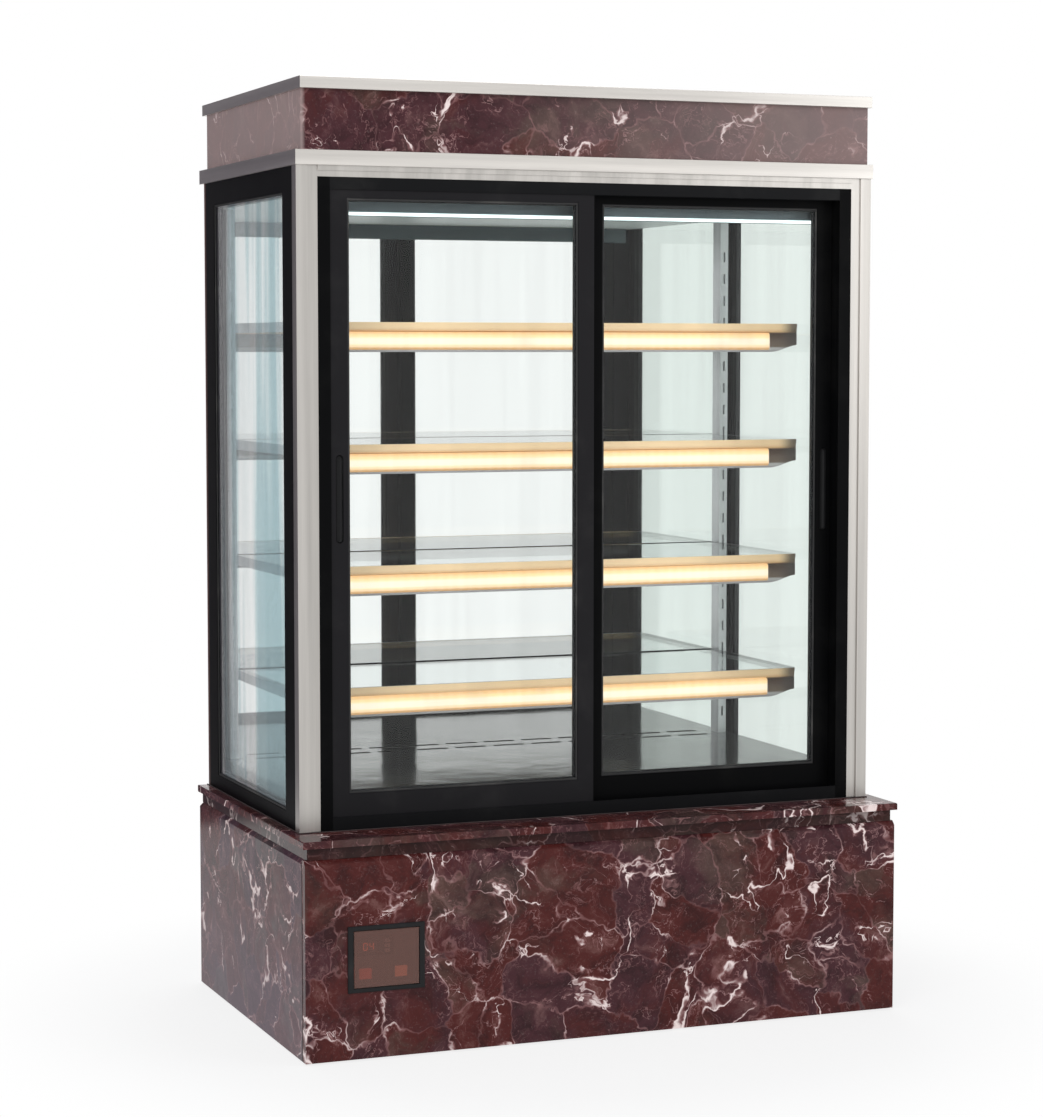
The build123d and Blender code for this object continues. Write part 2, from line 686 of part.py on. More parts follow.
    motor_length_small = 24.0
    motor_radius_small = 16.0
    motor_face = evaporator_panel_y - motor_gap / 2
    with BuildPart() as motors:
        with BuildSketch(front_plane(evaporator_panel_y + sheet)):
            with Locations((0, evaporator_fan_level)):
                Rectangle(2 * tub_inner, plinth_height - z_tub_inside)
            with Locations((-evaporator_fan_x, evaporator_fan_level), (evaporator_fan_x, evaporator_fan_level)):
                Circle(evaporator_fan_hole, mode=Mode.SUBTRACT)
        extrude(amount=sheet)
        for x in (-evaporator_fan_x, evaporator_fan_x):
            with BuildSketch(front_plane(motor_face, x, evaporator_fan_level)):
                Circle(motor_radius_small)
            extrude(amount=motor_length_small)
            with BuildSketch(front_plane(motor_face + motor_gap + evaporator_fan_width, x, evaporator_fan_level)):
                Circle(shaft_radius)
            extrude(amount=motor_gap + evaporator_fan_width)
            strap = evaporator_fan_hole + 8.0
            block((x - strap, x + strap), (motor_face - 2 * sheet, motor_face - sheet),
                  (evaporator_fan_level - 6.0, evaporator_fan_level + 6.0))
            for edge in (-strap, strap - angle_sheet):
                block((x + edge, x + edge + angle_sheet), (motor_face - 2 * sheet, evaporator_panel_y),
                      (evaporator_fan_level - 6.0, evaporator_fan_level + 6.0))
    write(motors, "evaporator_fan_motors")
    rotor_y = motor_face + motor_gap + evaporator_fan_width / 2
    for number, x in enumerate((-evaporator_fan_x, evaporator_fan_x), 1):
        small = fan(x, rotor_y, evaporator_fan_level, evaporator_fan_radius, evaporator_hub_radius,
                    evaporator_fan_width, 5, 30.0)
        write(small, f"evaporator_fan_{number}")

    with BuildPart() as box:
        block(box_x, box_y, (z_pan_top, z_pan_top + box_height))
        fillet(box.edges().filter_by(Axis.Z), 4.0)
        block((box_x[0] + 6.0, box_x[1] - 6.0), (box_y[0] - 2.0, box_y[0]),
              (z_pan_top + 6.0, z_pan_top + box_height - 6.0))
    write(box, "electrical_box")


def controls():
    x0 = window_x - window_width / 2
    x1 = window_x + window_width / 2
    z0 = window_level - window_height / 2
    z1 = window_level + window_height / 2
    pin_y = y_front + 0.5 + cover_thickness / 2
    pin_z = z1 - cover_thickness / 2
    with BuildPart() as bezel:
        with BuildSketch(front_plane(y_panel_outer, window_x, window_level)):
            Rectangle(bezel_width, bezel_height)
            Rectangle(window_width + 2 * cover_gap, window_height + 2 * cover_gap, mode=Mode.SUBTRACT)
        extrude(amount=panel_inset)
        with BuildSketch(front_plane(y_panel_inner, window_x, window_level)):
            Rectangle(window_width + 2 * bezel_collar, window_height + 2 * bezel_collar)
            Rectangle(window_width + 2 * cover_gap, window_height + 2 * cover_gap, mode=Mode.SUBTRACT)
        extrude(amount=panel_thickness)
        chamfer(bezel.faces().sort_by(Axis.Y)[0].outer_wire().edges(), sheet)
        with Locations(Location((window_x, pin_y, pin_z), (0, 90, 0))):
            Cylinder(cover_pin_radius + cover_pin_clearance,
                     window_width + 2 * cover_pin_length + 2 * cover_pin_clearance, mode=Mode.SUBTRACT)
    write(bezel, "control_window_bezel")

    with BuildPart() as cover:
        block((x0, x1), (pin_y - cover_thickness / 2, pin_y + cover_thickness / 2),
              (z0, pin_z))
        with Locations(Location((window_x, pin_y, pin_z), (0, 90, 0))):
            Cylinder(cover_thickness / 2, window_width)
            Cylinder(cover_pin_radius, window_width + 2 * cover_pin_length)
    write(cover, "control_window_cover")

    plate_y = (y_panel_inner, y_panel_inner + control_plate)
    with BuildPart() as plate:
        block((x0 - 20.0, x1 + 20.0), plate_y, (z0 - 20.0, z1 + 20.0))
        block((controller_x - controller_width / 2 + 2.0, controller_x + controller_width / 2 - 2.0), plate_y,
              (controller_level - controller_height / 2 + 2.0, controller_level + controller_height / 2 - 2.0),
              Mode.SUBTRACT)
        for x in switch_x:
            outer_x = (x - switch_width / 2 - switch_bezel, x + switch_width / 2 + switch_bezel)
            outer_z = (switch_level - switch_height / 2 - switch_bezel,
                       switch_level + switch_height / 2 + switch_bezel)
            block(outer_x, (plate_y[0] - switch_bezel, plate_y[1] + switch_depth), outer_z)
            block((x - switch_width / 2, x + switch_width / 2), (plate_y[0] - switch_bezel, plate_y[1] + 15.0),
                  (switch_level - switch_height / 2, switch_level + switch_height / 2), Mode.SUBTRACT)
            with Locations(Location((x, plate_y[0] + 4.0, switch_level), (0, 90, 0))):
                Cylinder(rocker_pin_radius + rocker_pin_clearance, switch_width + switch_bezel,
                         mode=Mode.SUBTRACT)
    write(plate, "control_panel")

    rocker_half = switch_width / 2 - rocker_clearance
    for x, name in zip(switch_x, ("power_switch", "light_switch")):
        with BuildPart() as rocker:
            with BuildSketch(Plane(origin=(x - rocker_half, plate_y[0] + 4.0, switch_level),
                                   x_dir=(0, 1, 0), z_dir=(1, 0, 0))) as side_view:
                reach = switch_height / 2 - 3 * rocker_clearance
                with BuildLine(Rot(0, 0, rocker_tilt)) as outline:
                    Polyline((-8.0, -reach), (2.0, -reach), (4.0, 0), (2.0, reach), (-8.0, reach))
                    ThreePointArc((-8.0, reach), (-6.0, 0), (-8.0, -reach))
                make_face()
            extrude(amount=2 * rocker_half)
            with Locations(Location((x, plate_y[0] + 4.0, switch_level), (0, 90, 0))):
                Cylinder(rocker_pin_radius, switch_width + switch_bezel * 0.8)
        write(rocker, name)

    face_y = plate_y[0] - controller_face
    key_column = controller_x + controller_width / 2 - 12.0
    key_levels = [controller_level + (index - 1) * key_pitch for index in range(3)]
    with BuildPart() as controller:
        block((controller_x - controller_width / 2, controller_x + controller_width / 2),
              (face_y, plate_y[0]),
              (controller_level - controller_height / 2, controller_level + controller_height / 2))
        fillet(controller.edges().filter_by(Axis.Y), 3.0)
        block((controller_x - controller_width / 2 + 2.0, controller_x + controller_width / 2 - 2.0),
              (plate_y[0], plate_y[0] + controller_body_depth),
              (controller_level - controller_height / 2 + 2.0, controller_level + controller_height / 2 - 2.0))
        display_x = controller_x - 10.0
        block((display_x - display_width / 2, display_x + display_width / 2), (face_y, face_y + 0.8),
              (controller_level - display_height / 2, controller_level + display_height / 2), Mode.SUBTRACT)
        for z in key_levels:
            block((key_column - key_width / 2 - key_clearance, key_column + key_width / 2 + key_clearance),
                  (face_y, face_y + key_depth + key_travel - key_proud + 0.8),
                  (z - key_height / 2 - key_clearance, z + key_height / 2 + key_clearance), Mode.SUBTRACT)
    write(controller, "temperature_controller")
    for name, z in zip(("key_down", "key_set", "key_up"), key_levels):
        with BuildPart() as key:
            block((key_column - key_width / 2, key_column + key_width / 2),
                  (face_y - key_proud, face_y - key_proud + key_depth), (z - key_height / 2, z + key_height / 2))
            fillet(key.edges().filter_by(Axis.Y), key_height / 4)
        write(key, name)


def cabinet():
    with BuildPart() as deck:
        block((-frame_inner, frame_inner), (y_inside, y_wall), (plinth_height, deck_height))
        block((-frame_inner + sheet, frame_inner - sheet), (y_inside + sheet, y_wall - sheet),
              (plinth_height, deck_height - deck_plate), Mode.SUBTRACT)
        for y, width in ((supply_slot_y, supply_slot_width), (return_slot_y, return_slot_width)):
            with BuildSketch(Plane.XY.offset(deck_height)):
                with Locations((0, y)):
                    with GridLocations(slot_spacing, 1, slot_count, 1):
                        SlotOverall(slot_length, width)
            extrude(amount=-deck_plate, mode=Mode.SUBTRACT)
    write(deck, "deck")

    with BuildPart() as wall:
        block((-frame_outer, frame_outer), (y_rear - sheet, y_rear), (z_cabinet, z_lower_lip))
        for side in (-1, 1):
            block(sorted((side * (frame_outer - sheet), side * frame_outer)), (y_frame_rear, y_rear),
                  (z_cabinet, z_lower_lip))
            block(sorted((side * (frame_inner - sheet), side * frame_inner)), (y_wall, y_rear),
                  (z_cabinet, z_lower_lip))
        for z in (z_cabinet, z_lower_lip - sheet):
            block((-frame_inner, frame_inner), (y_wall, y_rear), (z, z + sheet))
    write(wall, "rear_wall")

    with BuildPart() as mirror:
        block((-frame_inner, frame_inner), (y_mirror, y_wall), (deck_height, ceiling_height))
    write(mirror, "mirror")

    pane_y = (y_sight_front - glazing_groove, y_sight_rear + glazing_groove)
    pane_z = (z_sight_bottom - glazing_groove, z_sight_top + glazing_groove)
    outer_pane = (frame_outer - side_pane_outer_inset - side_pane, frame_outer - side_pane_outer_inset)
    inner_pane = (frame_inner + side_pane_inner_inset, frame_inner + side_pane_inner_inset + side_pane)
    with BuildPart() as frames:
        for side in (-1, 1):
            block(sorted((side * frame_inner, side * frame_outer)), (y_frame_front, y_frame_rear),
                  (z_cabinet, z_lower_lip))
            block(sorted((side * frame_inner, side * frame_outer)), (y_sight_front, y_sight_rear),
                  (z_sight_bottom, z_sight_top), Mode.SUBTRACT)
            for pane in (outer_pane, inner_pane):
                block(sorted((side * pane[0], side * pane[1])), pane_y, pane_z, Mode.SUBTRACT)
    write(frames, "side_frames")
    for side, name in ((-1, "side_glass_left"), (1, "side_glass_right")):
        with BuildPart() as glass:
            for pane in (outer_pane, inner_pane):
                block(sorted((side * pane[0], side * pane[1])), pane_y, pane_z)
        write(glass, name)

    with BuildPart() as trim:
        for side in (-1, 1):
            with BuildSketch(Plane.XY.offset(z_cabinet)):
                with BuildLine():
                    Polyline((side * cabinet_half, y_frame_front),
                             (side * cabinet_half, y_post),
                             (side * (cabinet_half - post_outer_face), y_post),
                             (side * (cabinet_half - post_outer_face), y_post + post_step),
                             (side * (cabinet_half - post_face), y_post + post_step),
                             (side * (cabinet_half - post_face), y_jamb),
                             (side * (cabinet_half - post_outer_face - sheet), y_jamb),
                             (side * (cabinet_half - lip_sheet), y_jamb),
                             (side * (cabinet_half - lip_sheet), y_frame_front),
                             close=True)
                make_face()
            extrude(amount=cabinet_height)
        header_half = cabinet_half - post_face
        block((-header_half, header_half), (y_post + post_step, y_jamb),
              (z_lower_lip - header_height, z_lower_lip))
        block((-header_half, header_half), (y_post, y_post + post_step),
              (z_lower_lip - header_upper, z_lower_lip))
    write(trim, "front_trim")


def canopy():
    stone_x = (-canopy_inner, canopy_inner)
    stone_y = (y_canopy_inner, y_rear)
    with BuildPart() as lower_lip:
        x = (-cabinet_half - lower_lip_side, cabinet_half + lower_lip_side)
        y = (y_post - lower_lip_front, y_lip_rear)
        plan_frame(x, y, stone_x, stone_y, (z_canopy - lip_sheet, z_canopy))
        plan_ring(x, y, lip_flange, (z_lower_lip, z_lower_lip + lip_sheet))
        plan_ring(x, y, lip_sheet, (z_lower_lip, z_canopy))
        chamfer(lower_lip.faces().sort_by(Axis.Y)[0].edges().filter_by(Axis.X), lip_sheet / 4)
    write(lower_lip, "lower_lip")

    with BuildPart() as top_lip:
        x = (-canopy_outer - top_lip_side, canopy_outer + top_lip_side)
        y = (y_post - top_lip_front, y_lip_rear)
        plan_frame(x, y, stone_x, stone_y, (z_top_lip, z_top_lip + lip_sheet))
        plan_ring(x, y, 1.4 * lip_flange, (z_top - lip_sheet, z_top))
        plan_ring(x, y, lip_sheet, (z_top_lip, z_top))
        chamfer(top_lip.faces().sort_by(Axis.Y)[0].edges().filter_by(Axis.X), lip_sheet / 4)
    write(top_lip, "top_lip")

    with BuildPart() as stone:
        block((-canopy_outer, canopy_outer), (y_canopy, y_canopy_inner), (z_canopy, z_top_lip))
        for side in (-1, 1):
            block(sorted((side * canopy_inner, side * canopy_outer)), (y_canopy_inner, y_rear),
                  (z_canopy, z_top_lip))
    write(stone, "canopy_panels")

    with BuildPart() as box:
        plan_ring((-canopy_inner, canopy_inner), (y_canopy_inner, y_rear), sheet,
                  (z_lower_lip + lip_sheet, z_top - lip_sheet))
        block((-canopy_inner, canopy_inner), (y_canopy_inner, y_rear),
              (z_top - lip_sheet - sheet, z_top - lip_sheet))
    write(box, "canopy_box")

    with BuildPart() as ceiling:
        block((-frame_inner, frame_inner), (y_inside, y_wall), (ceiling_height, z_lower_lip))
        block((-frame_inner + sheet, frame_inner - sheet), (y_inside + sheet, y_wall - sheet),
              (ceiling_height + sheet, z_lower_lip), Mode.SUBTRACT)
    write(ceiling, "ceiling_panel")

    with BuildPart() as lamp:
        block((-ceiling_lamp_half, ceiling_lamp_half),
              (ceiling_lamp_front, ceiling_lamp_front + ceiling_lamp_width),
              (ceiling_height - ceiling_lamp_height, ceiling_height))
        fillet(lamp.edges().filter_by(Axis.X).group_by(Axis.Z)[0], ceiling_lamp_round)
    write(lamp, "ceiling_lamp")


def door_frame(left, y, name, pull_x, seal):
    """A glazed sliding door: frame from its left edge, with grooves, roller pockets and pull."""
    right = left + door_width
    centre_y = y + door_thickness / 2
    sight_x = (left + stile_width, right - stile_width)
    sight_z = (door_sight_bottom, door_sight_top)
    pane_x = (sight_x[0] - door_groove, sight_x[1] + door_groove)
    pane_z = (sight_z[0] - door_groove, sight_z[1] + door_groove)
    first_pane = (y + door_pane_inset, y + door_pane_inset + door_pane)
    second_pane = (y + door_thickness - door_pane_inset - door_pane, y + door_thickness - door_pane_inset)
    roller_places = (left + roller_inset, right - roller_inset)
    with BuildPart() as frame:
        block((left, right), (y, y + door_thickness), (door_bottom, door_top))
        block(sight_x, (y, y + door_thickness), sight_z, Mode.SUBTRACT)
        for pane in (first_pane, second_pane):
            block(pane_x, pane, pane_z, Mode.SUBTRACT)
        with BuildSketch(front_plane(y + pull_depth, pull_x, z_cabinet + pull_level)):
            SlotOverall(pull_height, pull_width, rotation=90)
        extrude(amount=pull_depth, mode=Mode.SUBTRACT)
        for x in roller_places:
            block((x - roller_pocket_length / 2, x + roller_pocket_length / 2),
                  (centre_y - roller_pocket_width / 2, centre_y + roller_pocket_width / 2),
                  (door_bottom, door_bottom + roller_pocket_height), Mode.SUBTRACT)
            with Locations(Location((x, centre_y, z_roller), (90, 0, 0))):
                Cylinder(roller_pin_radius, roller_pocket_width)
        if seal:
            block((right - stile_width + 6.0, right - stile_width + 14.0),
                  (y + door_thickness, y + door_thickness + door_spacing - seal_clearance),
                  (door_sight_bottom, door_sight_top))
    write(frame, f"{name}_frame")
    with BuildPart() as glass:
        for pane in (first_pane, second_pane):
            block(pane_x, pane, pane_z)
    write(glass, f"{name}_glass")
    for number, x in enumerate(roller_places, 1):
        with BuildPart(front_plane(centre_y, x, z_roller)) as roller:
            Cylinder(roller_radius, roller_width)
            Cylinder(roller_radius + 1.0, roller_groove, mode=Mode.SUBTRACT)
            Cylinder(roller_tread, roller_groove)
            Cylinder(roller_hub_radius, roller_hub_width)
            Cylinder(roller_pin_radius + roller_pin_clearance, 2 * roller_hub_width, mode=Mode.SUBTRACT)
        write(roller, f"{name}_roller_{number}")


def doors():
    left_edge = -jamb_inner + door_side_clearance
    right_edge = jamb_inner - door_side_clearance
    door_frame(left_edge, y_door_front, "left_door", left_edge + stile_width / 2, True)
    door_frame(right_edge - door_width, y_door_rear, "right_door", right_edge - stile_width / 2, False)

    with BuildPart() as jambs:
        for side in (-1, 1):
            with BuildSketch(Plane.XY.offset(z_cabinet)):
                with BuildLine():
                    Polyline((side * jamb_inner, y_jamb), (side * frame_outer, y_jamb),
                             (side * frame_outer, y_frame_front), (side * frame_inner, y_frame_front),
                             (side * frame_inner, y_inside), (side * jamb_inner, y_inside), close=True)
                make_face()
            extrude(amount=cabinet_height)
    write(jambs, "door_jambs")

    track_x = (-jamb_inner, jamb_inner)
    with BuildPart() as bottom:
        block(track_x, (y_jamb, y_inside), (z_cabinet, z_track))
        block(track_x, (y_jamb, y_jamb + track_lip), (z_track, z_cabinet + track_lip_height))
        block(track_x, (y_inside - track_lip, y_inside), (z_track, z_cabinet + track_lip_height))
        for y in (y_door_front, y_door_rear):
            middle = y + door_thickness / 2
            block(track_x, (middle - rail_width / 2, middle + rail_width / 2), (z_track, z_rail))
    write(bottom, "bottom_track")

    with BuildPart() as top:
        block(track_x, (y_jamb, y_inside), (z_lower_lip - top_track_web, z_lower_lip))
        between = y_door_front + door_thickness + door_spacing / 2
        for middle in (y_jamb + sheet / 2, between, y_inside - sheet / 2):
            block(track_x, (middle - sheet / 2, middle + sheet / 2),
                  (top_track_bottom, z_lower_lip - top_track_web))
    write(top, "top_track")


def shelf_outline(half_width, rise_start, z_low, z_high):
    """Front view of the light strip: its lower edge rises at both ends."""
    with BuildSketch() as view:
        with BuildLine():
            Line((-half_width, z_high), (half_width, z_high))
            Line((half_width, z_high), (half_width, z_low + cap_rise))
            Spline((half_width, z_low + cap_rise), (rise_start, z_low), tangents=((-1, -0.1), (-1, 0)))
            Line((rise_start, z_low), (-rise_start, z_low))
            Spline((-rise_start, z_low), (-half_width, z_low + cap_rise), tangents=((-1, 0), (-1, 0.1)))
            Line((-half_width, z_low + cap_rise), (-half_width, z_high))
        make_face()
    return view.sketch


def shelves():
    lowest_shelf = deck_height + lowest_shelf_rise
    glass_tops = [lowest_shelf + index * shelf_pitch for index in range(shelf_count)]
    for number, top in enumerate(reversed(glass_tops), 1):
        with BuildPart() as glass:
            block((-shelf_half, shelf_half), (y_shelf_glass, y_shelf_rear), (top - shelf_glass, top))
            chamfer(glass.edges().filter_by(Axis.X), 0.8)
        write(glass, f"glass_shelf_{number}")

    y_lamp_back = shelf_front + lamp_depth
    with BuildPart() as housings:
        for top in glass_tops:
            z_nosing = top - nosing_height
            z_lamp_top = z_nosing - lamp_gap
            z_lamp_bottom = z_lamp_top - lamp_height
            z_bottom = z_lamp_bottom - lamp_lip
            bottom = z_bottom - top
            outline = shelf_outline(cap_half, lamp_half, bottom, 0.0)
            section = Plane(origin=(0, y_lamp_back + housing_wall, top), x_dir=(1, 0, 0), z_dir=(0, -1, 0))
            with BuildSketch(section):
                add(outline)
            extrude(amount=lamp_depth + housing_wall)
            block((-lamp_half, lamp_half), (shelf_front, y_lamp_back), (z_lamp_bottom, z_nosing), Mode.SUBTRACT)
            block((-cap_half, cap_half), (y_shelf_glass, y_lamp_back + housing_wall),
                  (top - shelf_glass, top), Mode.SUBTRACT)
            block((-cap_half, -lamp_half), (shelf_front - 1.0, shelf_front + 1.5), (z_lamp_top, z_nosing),
                  Mode.SUBTRACT)
            block((lamp_half, cap_half), (shelf_front - 1.0, shelf_front + 1.5), (z_lamp_top, z_nosing),
                  Mode.SUBTRACT)
    write(housings, "shelf_light_housings")

    with BuildPart() as diffusers:
        for top in glass_tops:
            z_lamp_top = top - nosing_height - lamp_gap
            with BuildSketch(Plane.YZ.offset(-lamp_half)):
                with Locations(((shelf_front + y_lamp_back) / 2, z_lamp_top - lamp_height / 2)):
                    Rectangle(lamp_depth, lamp_height)
            extrude(amount=2 * lamp_half)
        front_edges = diffusers.edges().filter_by(Axis.X).group_by(Axis.Y)[0]
        fillet(front_edges, lamp_depth * 0.45)
    write(diffusers, "shelf_light_diffusers")

    upright_z = (deck_height, ceiling_height)
    upright_inner = shelf_half + arm_sheet
    with BuildPart() as supports:
        for side in (-1, 1):
            block(sorted((side * upright_inner, side * (upright_inner + upright_width))),
                  (y_mirror - upright_depth, y_mirror), upright_z)
            slots = int((upright_z[1] - upright_z[0]) / slot_pitch) - 1
            for index in range(1, slots + 1):
                z = upright_z[0] + index * slot_pitch
                x = side * (upright_inner + upright_width / 2)
                block((x - 2.0, x + 2.0), (y_mirror - upright_depth, y_mirror - upright_depth + 6.0),
                      (z - 10.0, z + 10.0), Mode.SUBTRACT)
            for top in glass_tops:
                under = top - shelf_glass
                block(sorted((side * shelf_half, side * (shelf_half + arm_sheet))),
                      (y_lamp_back + housing_wall, y_mirror), (under - arm_height / 2, under + arm_height / 2 - 3.0))
                block(sorted((side * (shelf_half - arm_flange), side * (shelf_half + arm_sheet))),
                      (y_lamp_back + housing_wall, y_mirror), (under - arm_sheet, under))
    write(supports, "shelf_supports")


os.makedirs("parts", exist_ok=True)
plinth()
chassis()
cooling_unit()
controls()
cabinet()
canopy()
doors()
shelves()
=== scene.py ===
"""Upright cake display refrigerator: materials, fittings and studio around its packed frame."""

import math

import bmesh
import bpy
from bpy.props import FloatProperty, FloatVectorProperty, IntProperty, PointerProperty
from bpy.types import Operator, Panel, PropertyGroup
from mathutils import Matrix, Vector


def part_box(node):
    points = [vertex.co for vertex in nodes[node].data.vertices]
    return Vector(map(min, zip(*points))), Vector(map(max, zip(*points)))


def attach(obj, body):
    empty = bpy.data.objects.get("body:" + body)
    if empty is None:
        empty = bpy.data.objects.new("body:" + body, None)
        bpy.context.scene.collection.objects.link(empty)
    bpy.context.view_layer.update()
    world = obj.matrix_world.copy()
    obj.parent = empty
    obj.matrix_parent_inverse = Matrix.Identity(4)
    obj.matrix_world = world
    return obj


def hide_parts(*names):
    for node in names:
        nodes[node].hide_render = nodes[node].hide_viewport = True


bl_info = {
    "name": "Cake display refrigerator",
    "version": (1, 0, 0),
    "blender": (4, 5, 0),
    "location": "3D View > Sidebar > Display Cabinet",
    "description": "Builds the stone, steel, glass and fittings of an upright cake display refrigerator",
    "category": "Object",
}

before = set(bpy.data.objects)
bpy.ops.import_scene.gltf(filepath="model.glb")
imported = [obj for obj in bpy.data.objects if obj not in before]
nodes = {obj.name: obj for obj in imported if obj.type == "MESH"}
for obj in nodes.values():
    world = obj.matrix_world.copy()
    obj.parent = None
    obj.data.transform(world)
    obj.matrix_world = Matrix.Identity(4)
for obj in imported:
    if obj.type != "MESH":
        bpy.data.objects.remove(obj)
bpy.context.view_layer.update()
MM = 0.001


def colour_setting(name, description, default):
    return FloatVectorProperty(name=name, description=description, subtype="COLOR", size=3, default=default)


def small_length(name, description, default):
    return FloatProperty(name=name, description=description, subtype="DISTANCE", unit="LENGTH",
                         default=default, min=0.001, max=0.02)


class StoneSettings(PropertyGroup):
    """The polished stone of the plinth and the canopy."""

    ground: colour_setting("Ground", "Main colour of the stone", (0.076, 0.0150, 0.0135))
    plum: colour_setting("Plum", "Cooler clouds in the stone", (0.060, 0.0200, 0.0250))
    olive: colour_setting("Olive", "Grey-green clouds in the stone", (0.085, 0.055, 0.045))
    vein: colour_setting("Vein", "Colour of the pale veins", (0.86, 0.72, 0.70))
    vein_scale: FloatProperty(
        name="Vein scale", description="Veins per metre", default=5.2, min=0.5, max=40.0)
    roughness: FloatProperty(
        name="Roughness", description="Roughness of the polished face", subtype="FACTOR",
        default=0.16, min=0.0, max=1.0)


class MetalSettings(PropertyGroup):
    """The steel trim, the black frames and the floor of the cabinet."""

    steel: colour_setting("Steel", "Colour of the brushed steel trim", (0.485, 0.465, 0.44))
    frame_black: colour_setting("Frame black", "Colour of the door and window frames",
                                (0.0022, 0.0023, 0.0026))
    # The front door's black is lighter than the frame black: the front door painted as lit and the rear one
    # as shaded.
    door_black: colour_setting("Front door", "Colour of the front door's frame", (0.0085, 0.0080, 0.0095))
    deck_grey: colour_setting("Deck grey", "Colour of the cabinet's floor", (0.024, 0.0245, 0.024))
    screw_radius: small_length("Screw head", "Radius of a screw's head", 0.0042)


class GlassSettings(PropertyGroup):
    """Panes, mirror and seals."""

    tint: colour_setting("Glass tint", "Tint of the doors' panes", (0.994, 1.0, 0.997))
    side_tint: colour_setting("Right window", "Tint of the right side's window", (0.925, 0.965, 0.945))
    # The side shade paints darker upright reflection bands into the left window's glass.
    painted_band_shade: colour_setting("Side shade", "Darker upright bands in the left side's window",
                               (0.66, 0.775, 0.80))
    shelf_tint: colour_setting("Shelf tint", "Tint of the glass shelves", (0.86, 0.905, 0.90))
    silver: colour_setting("Mirror", "Tint of the mirror at the back", (0.975, 0.992, 0.986))
    bead: small_length("Glazing bead", "Width of the rubber bead around a pane", 0.004)


class LampSettings(PropertyGroup):
    """The strips under the shelves and at the ceiling."""

    warm: colour_setting("Warm strip", "Colour of the shelf strips", (1.0, 0.89, 0.68))
    gold: colour_setting("Gold edge", "Colour of the strips' upper edge", (1.0, 0.74, 0.36))
    warm_strength: FloatProperty(
        name="Warm strength", description="Glow of the shelf strips", default=0.88, min=0.0, max=10.0)
    cool: colour_setting("Ceiling strip", "Colour of the ceiling lamp", (0.86, 1.0, 1.0))
    cool_strength: FloatProperty(
        name="Ceiling strength", description="Glow of the ceiling lamp", default=1.6, min=0.0, max=20.0)
    diodes: IntProperty(
        name="Diodes", description="Light points behind each warm strip", default=46, min=4, max=200)


class StageSettings(PropertyGroup):
    """Camera, lamps and floor."""

    camera_place: FloatVectorProperty(
        name="Camera", description="Place of the camera", subtype="TRANSLATION", size=3,
        default=(-2.04655, -5.09051, 1.27447))
    camera_yaw: FloatProperty(
        name="Yaw", description="Turn of the camera from the depth axis", subtype="ANGLE",
        default=math.radians(21.55))
    camera_pitch: FloatProperty(
        name="Pitch", description="How far the camera looks down", subtype="ANGLE",
        default=math.radians(4.21))
    lens: FloatProperty(
        name="Lens", description="Focal length for a 36 mm long side, in millimetres", default=90.1,
        min=10.0, max=300.0)


SETTINGS = {
    "cabinet_stone": StoneSettings,
    "cabinet_metal": MetalSettings,
    "cabinet_glass": GlassSettings,
    "cabinet_lamps": LampSettings,
    "cabinet_stage": StageSettings,
}


def settings(name):
    return getattr(bpy.context.scene, name)


# Node groups

def new_group(name, inputs, outputs):
    """An empty shader group with its sockets; returns it with the values given to it and its output node."""
    group = bpy.data.node_groups.new(name, "ShaderNodeTree")
    kinds = {"f": "NodeSocketFloat", "c": "NodeSocketColor", "v": "NodeSocketVector"}
    for label, kind, value in inputs:
        socket = group.interface.new_socket(label, in_out="INPUT", socket_type=kinds[kind])
        if value is not None:
            socket.default_value = value
    for label, kind in outputs:
        group.interface.new_socket(label, in_out="OUTPUT", socket_type=kinds[kind])
    return group, group.nodes.new("NodeGroupInput").outputs, group.nodes.new("NodeGroupOutput")


def wire(tree, source, target):
    """Link a socket to a target socket, or set a plain value or colour on it."""
    if isinstance(source, bpy.types.NodeSocket):
        tree.links.new(source, target)
    elif target.type == "RGBA":
        target.default_value = (*tuple(source)[:3], 1.0)
    else:
        target.default_value = source


def set_up(tree, node, **inputs):
    """Link or set a node's inputs by their names."""
    for label, value in inputs.items():
        wire(tree, value, node.inputs[label.replace("_", " ")])
    return node


def add_node(tree, kind, **inputs):
    return set_up(tree, tree.nodes.new(f"ShaderNode{kind}"), **inputs)


def operate(tree, kind, operation, *values):
    """A maths or vector maths node with its values in order."""
    node = add_node(tree, kind)
    node.operation = operation
    for value, socket in zip(values, node.inputs):
        wire(tree, value, socket)
    return node


def math_node(tree, operation, *values):
    return operate(tree, "Math", operation, *values).outputs[0]


def product(tree, first, second):
    return math_node(tree, "MULTIPLY", first, second)


def times_plus(tree, value, factor, base):
    return math_node(tree, "MULTIPLY_ADD", value, factor, base)


def mix_colour(tree, factor, first, second):
    node = add_node(tree, "Mix")
    node.data_type = "RGBA"
    for value, index in ((factor, 0), (first, 6), (second, 7)):
        wire(tree, value, node.inputs[index])
    return node.outputs[2]


def scaled(tree, colour, factor):
    return set_up(tree, operate(tree, "VectorMath", "SCALE", colour), Scale=factor).outputs[0]


def coordinate(tree, vector, axis):
    """One coordinate of a vector."""
    return add_node(tree, "SeparateXYZ", Vector=vector).outputs[axis]


def mix_shaders(tree, factor, first, second):
    node = add_node(tree, "MixShader")
    for source, socket in zip((factor, first, second), node.inputs):
        tree.links.new(source, socket)
    return node.outputs[0]


def noise(tree, vector, scale, detail, roughness, distortion=0.0):
    """A cloud's value; its node also has a colour."""
    return add_node(tree, "TexNoise", Vector=vector, Scale=scale, Detail=detail, Roughness=roughness,
                    Distortion=distortion).outputs[0]


def stretch(tree, vector, scale):
    return add_node(tree, "Mapping", Vector=vector, Scale=scale).outputs[0]


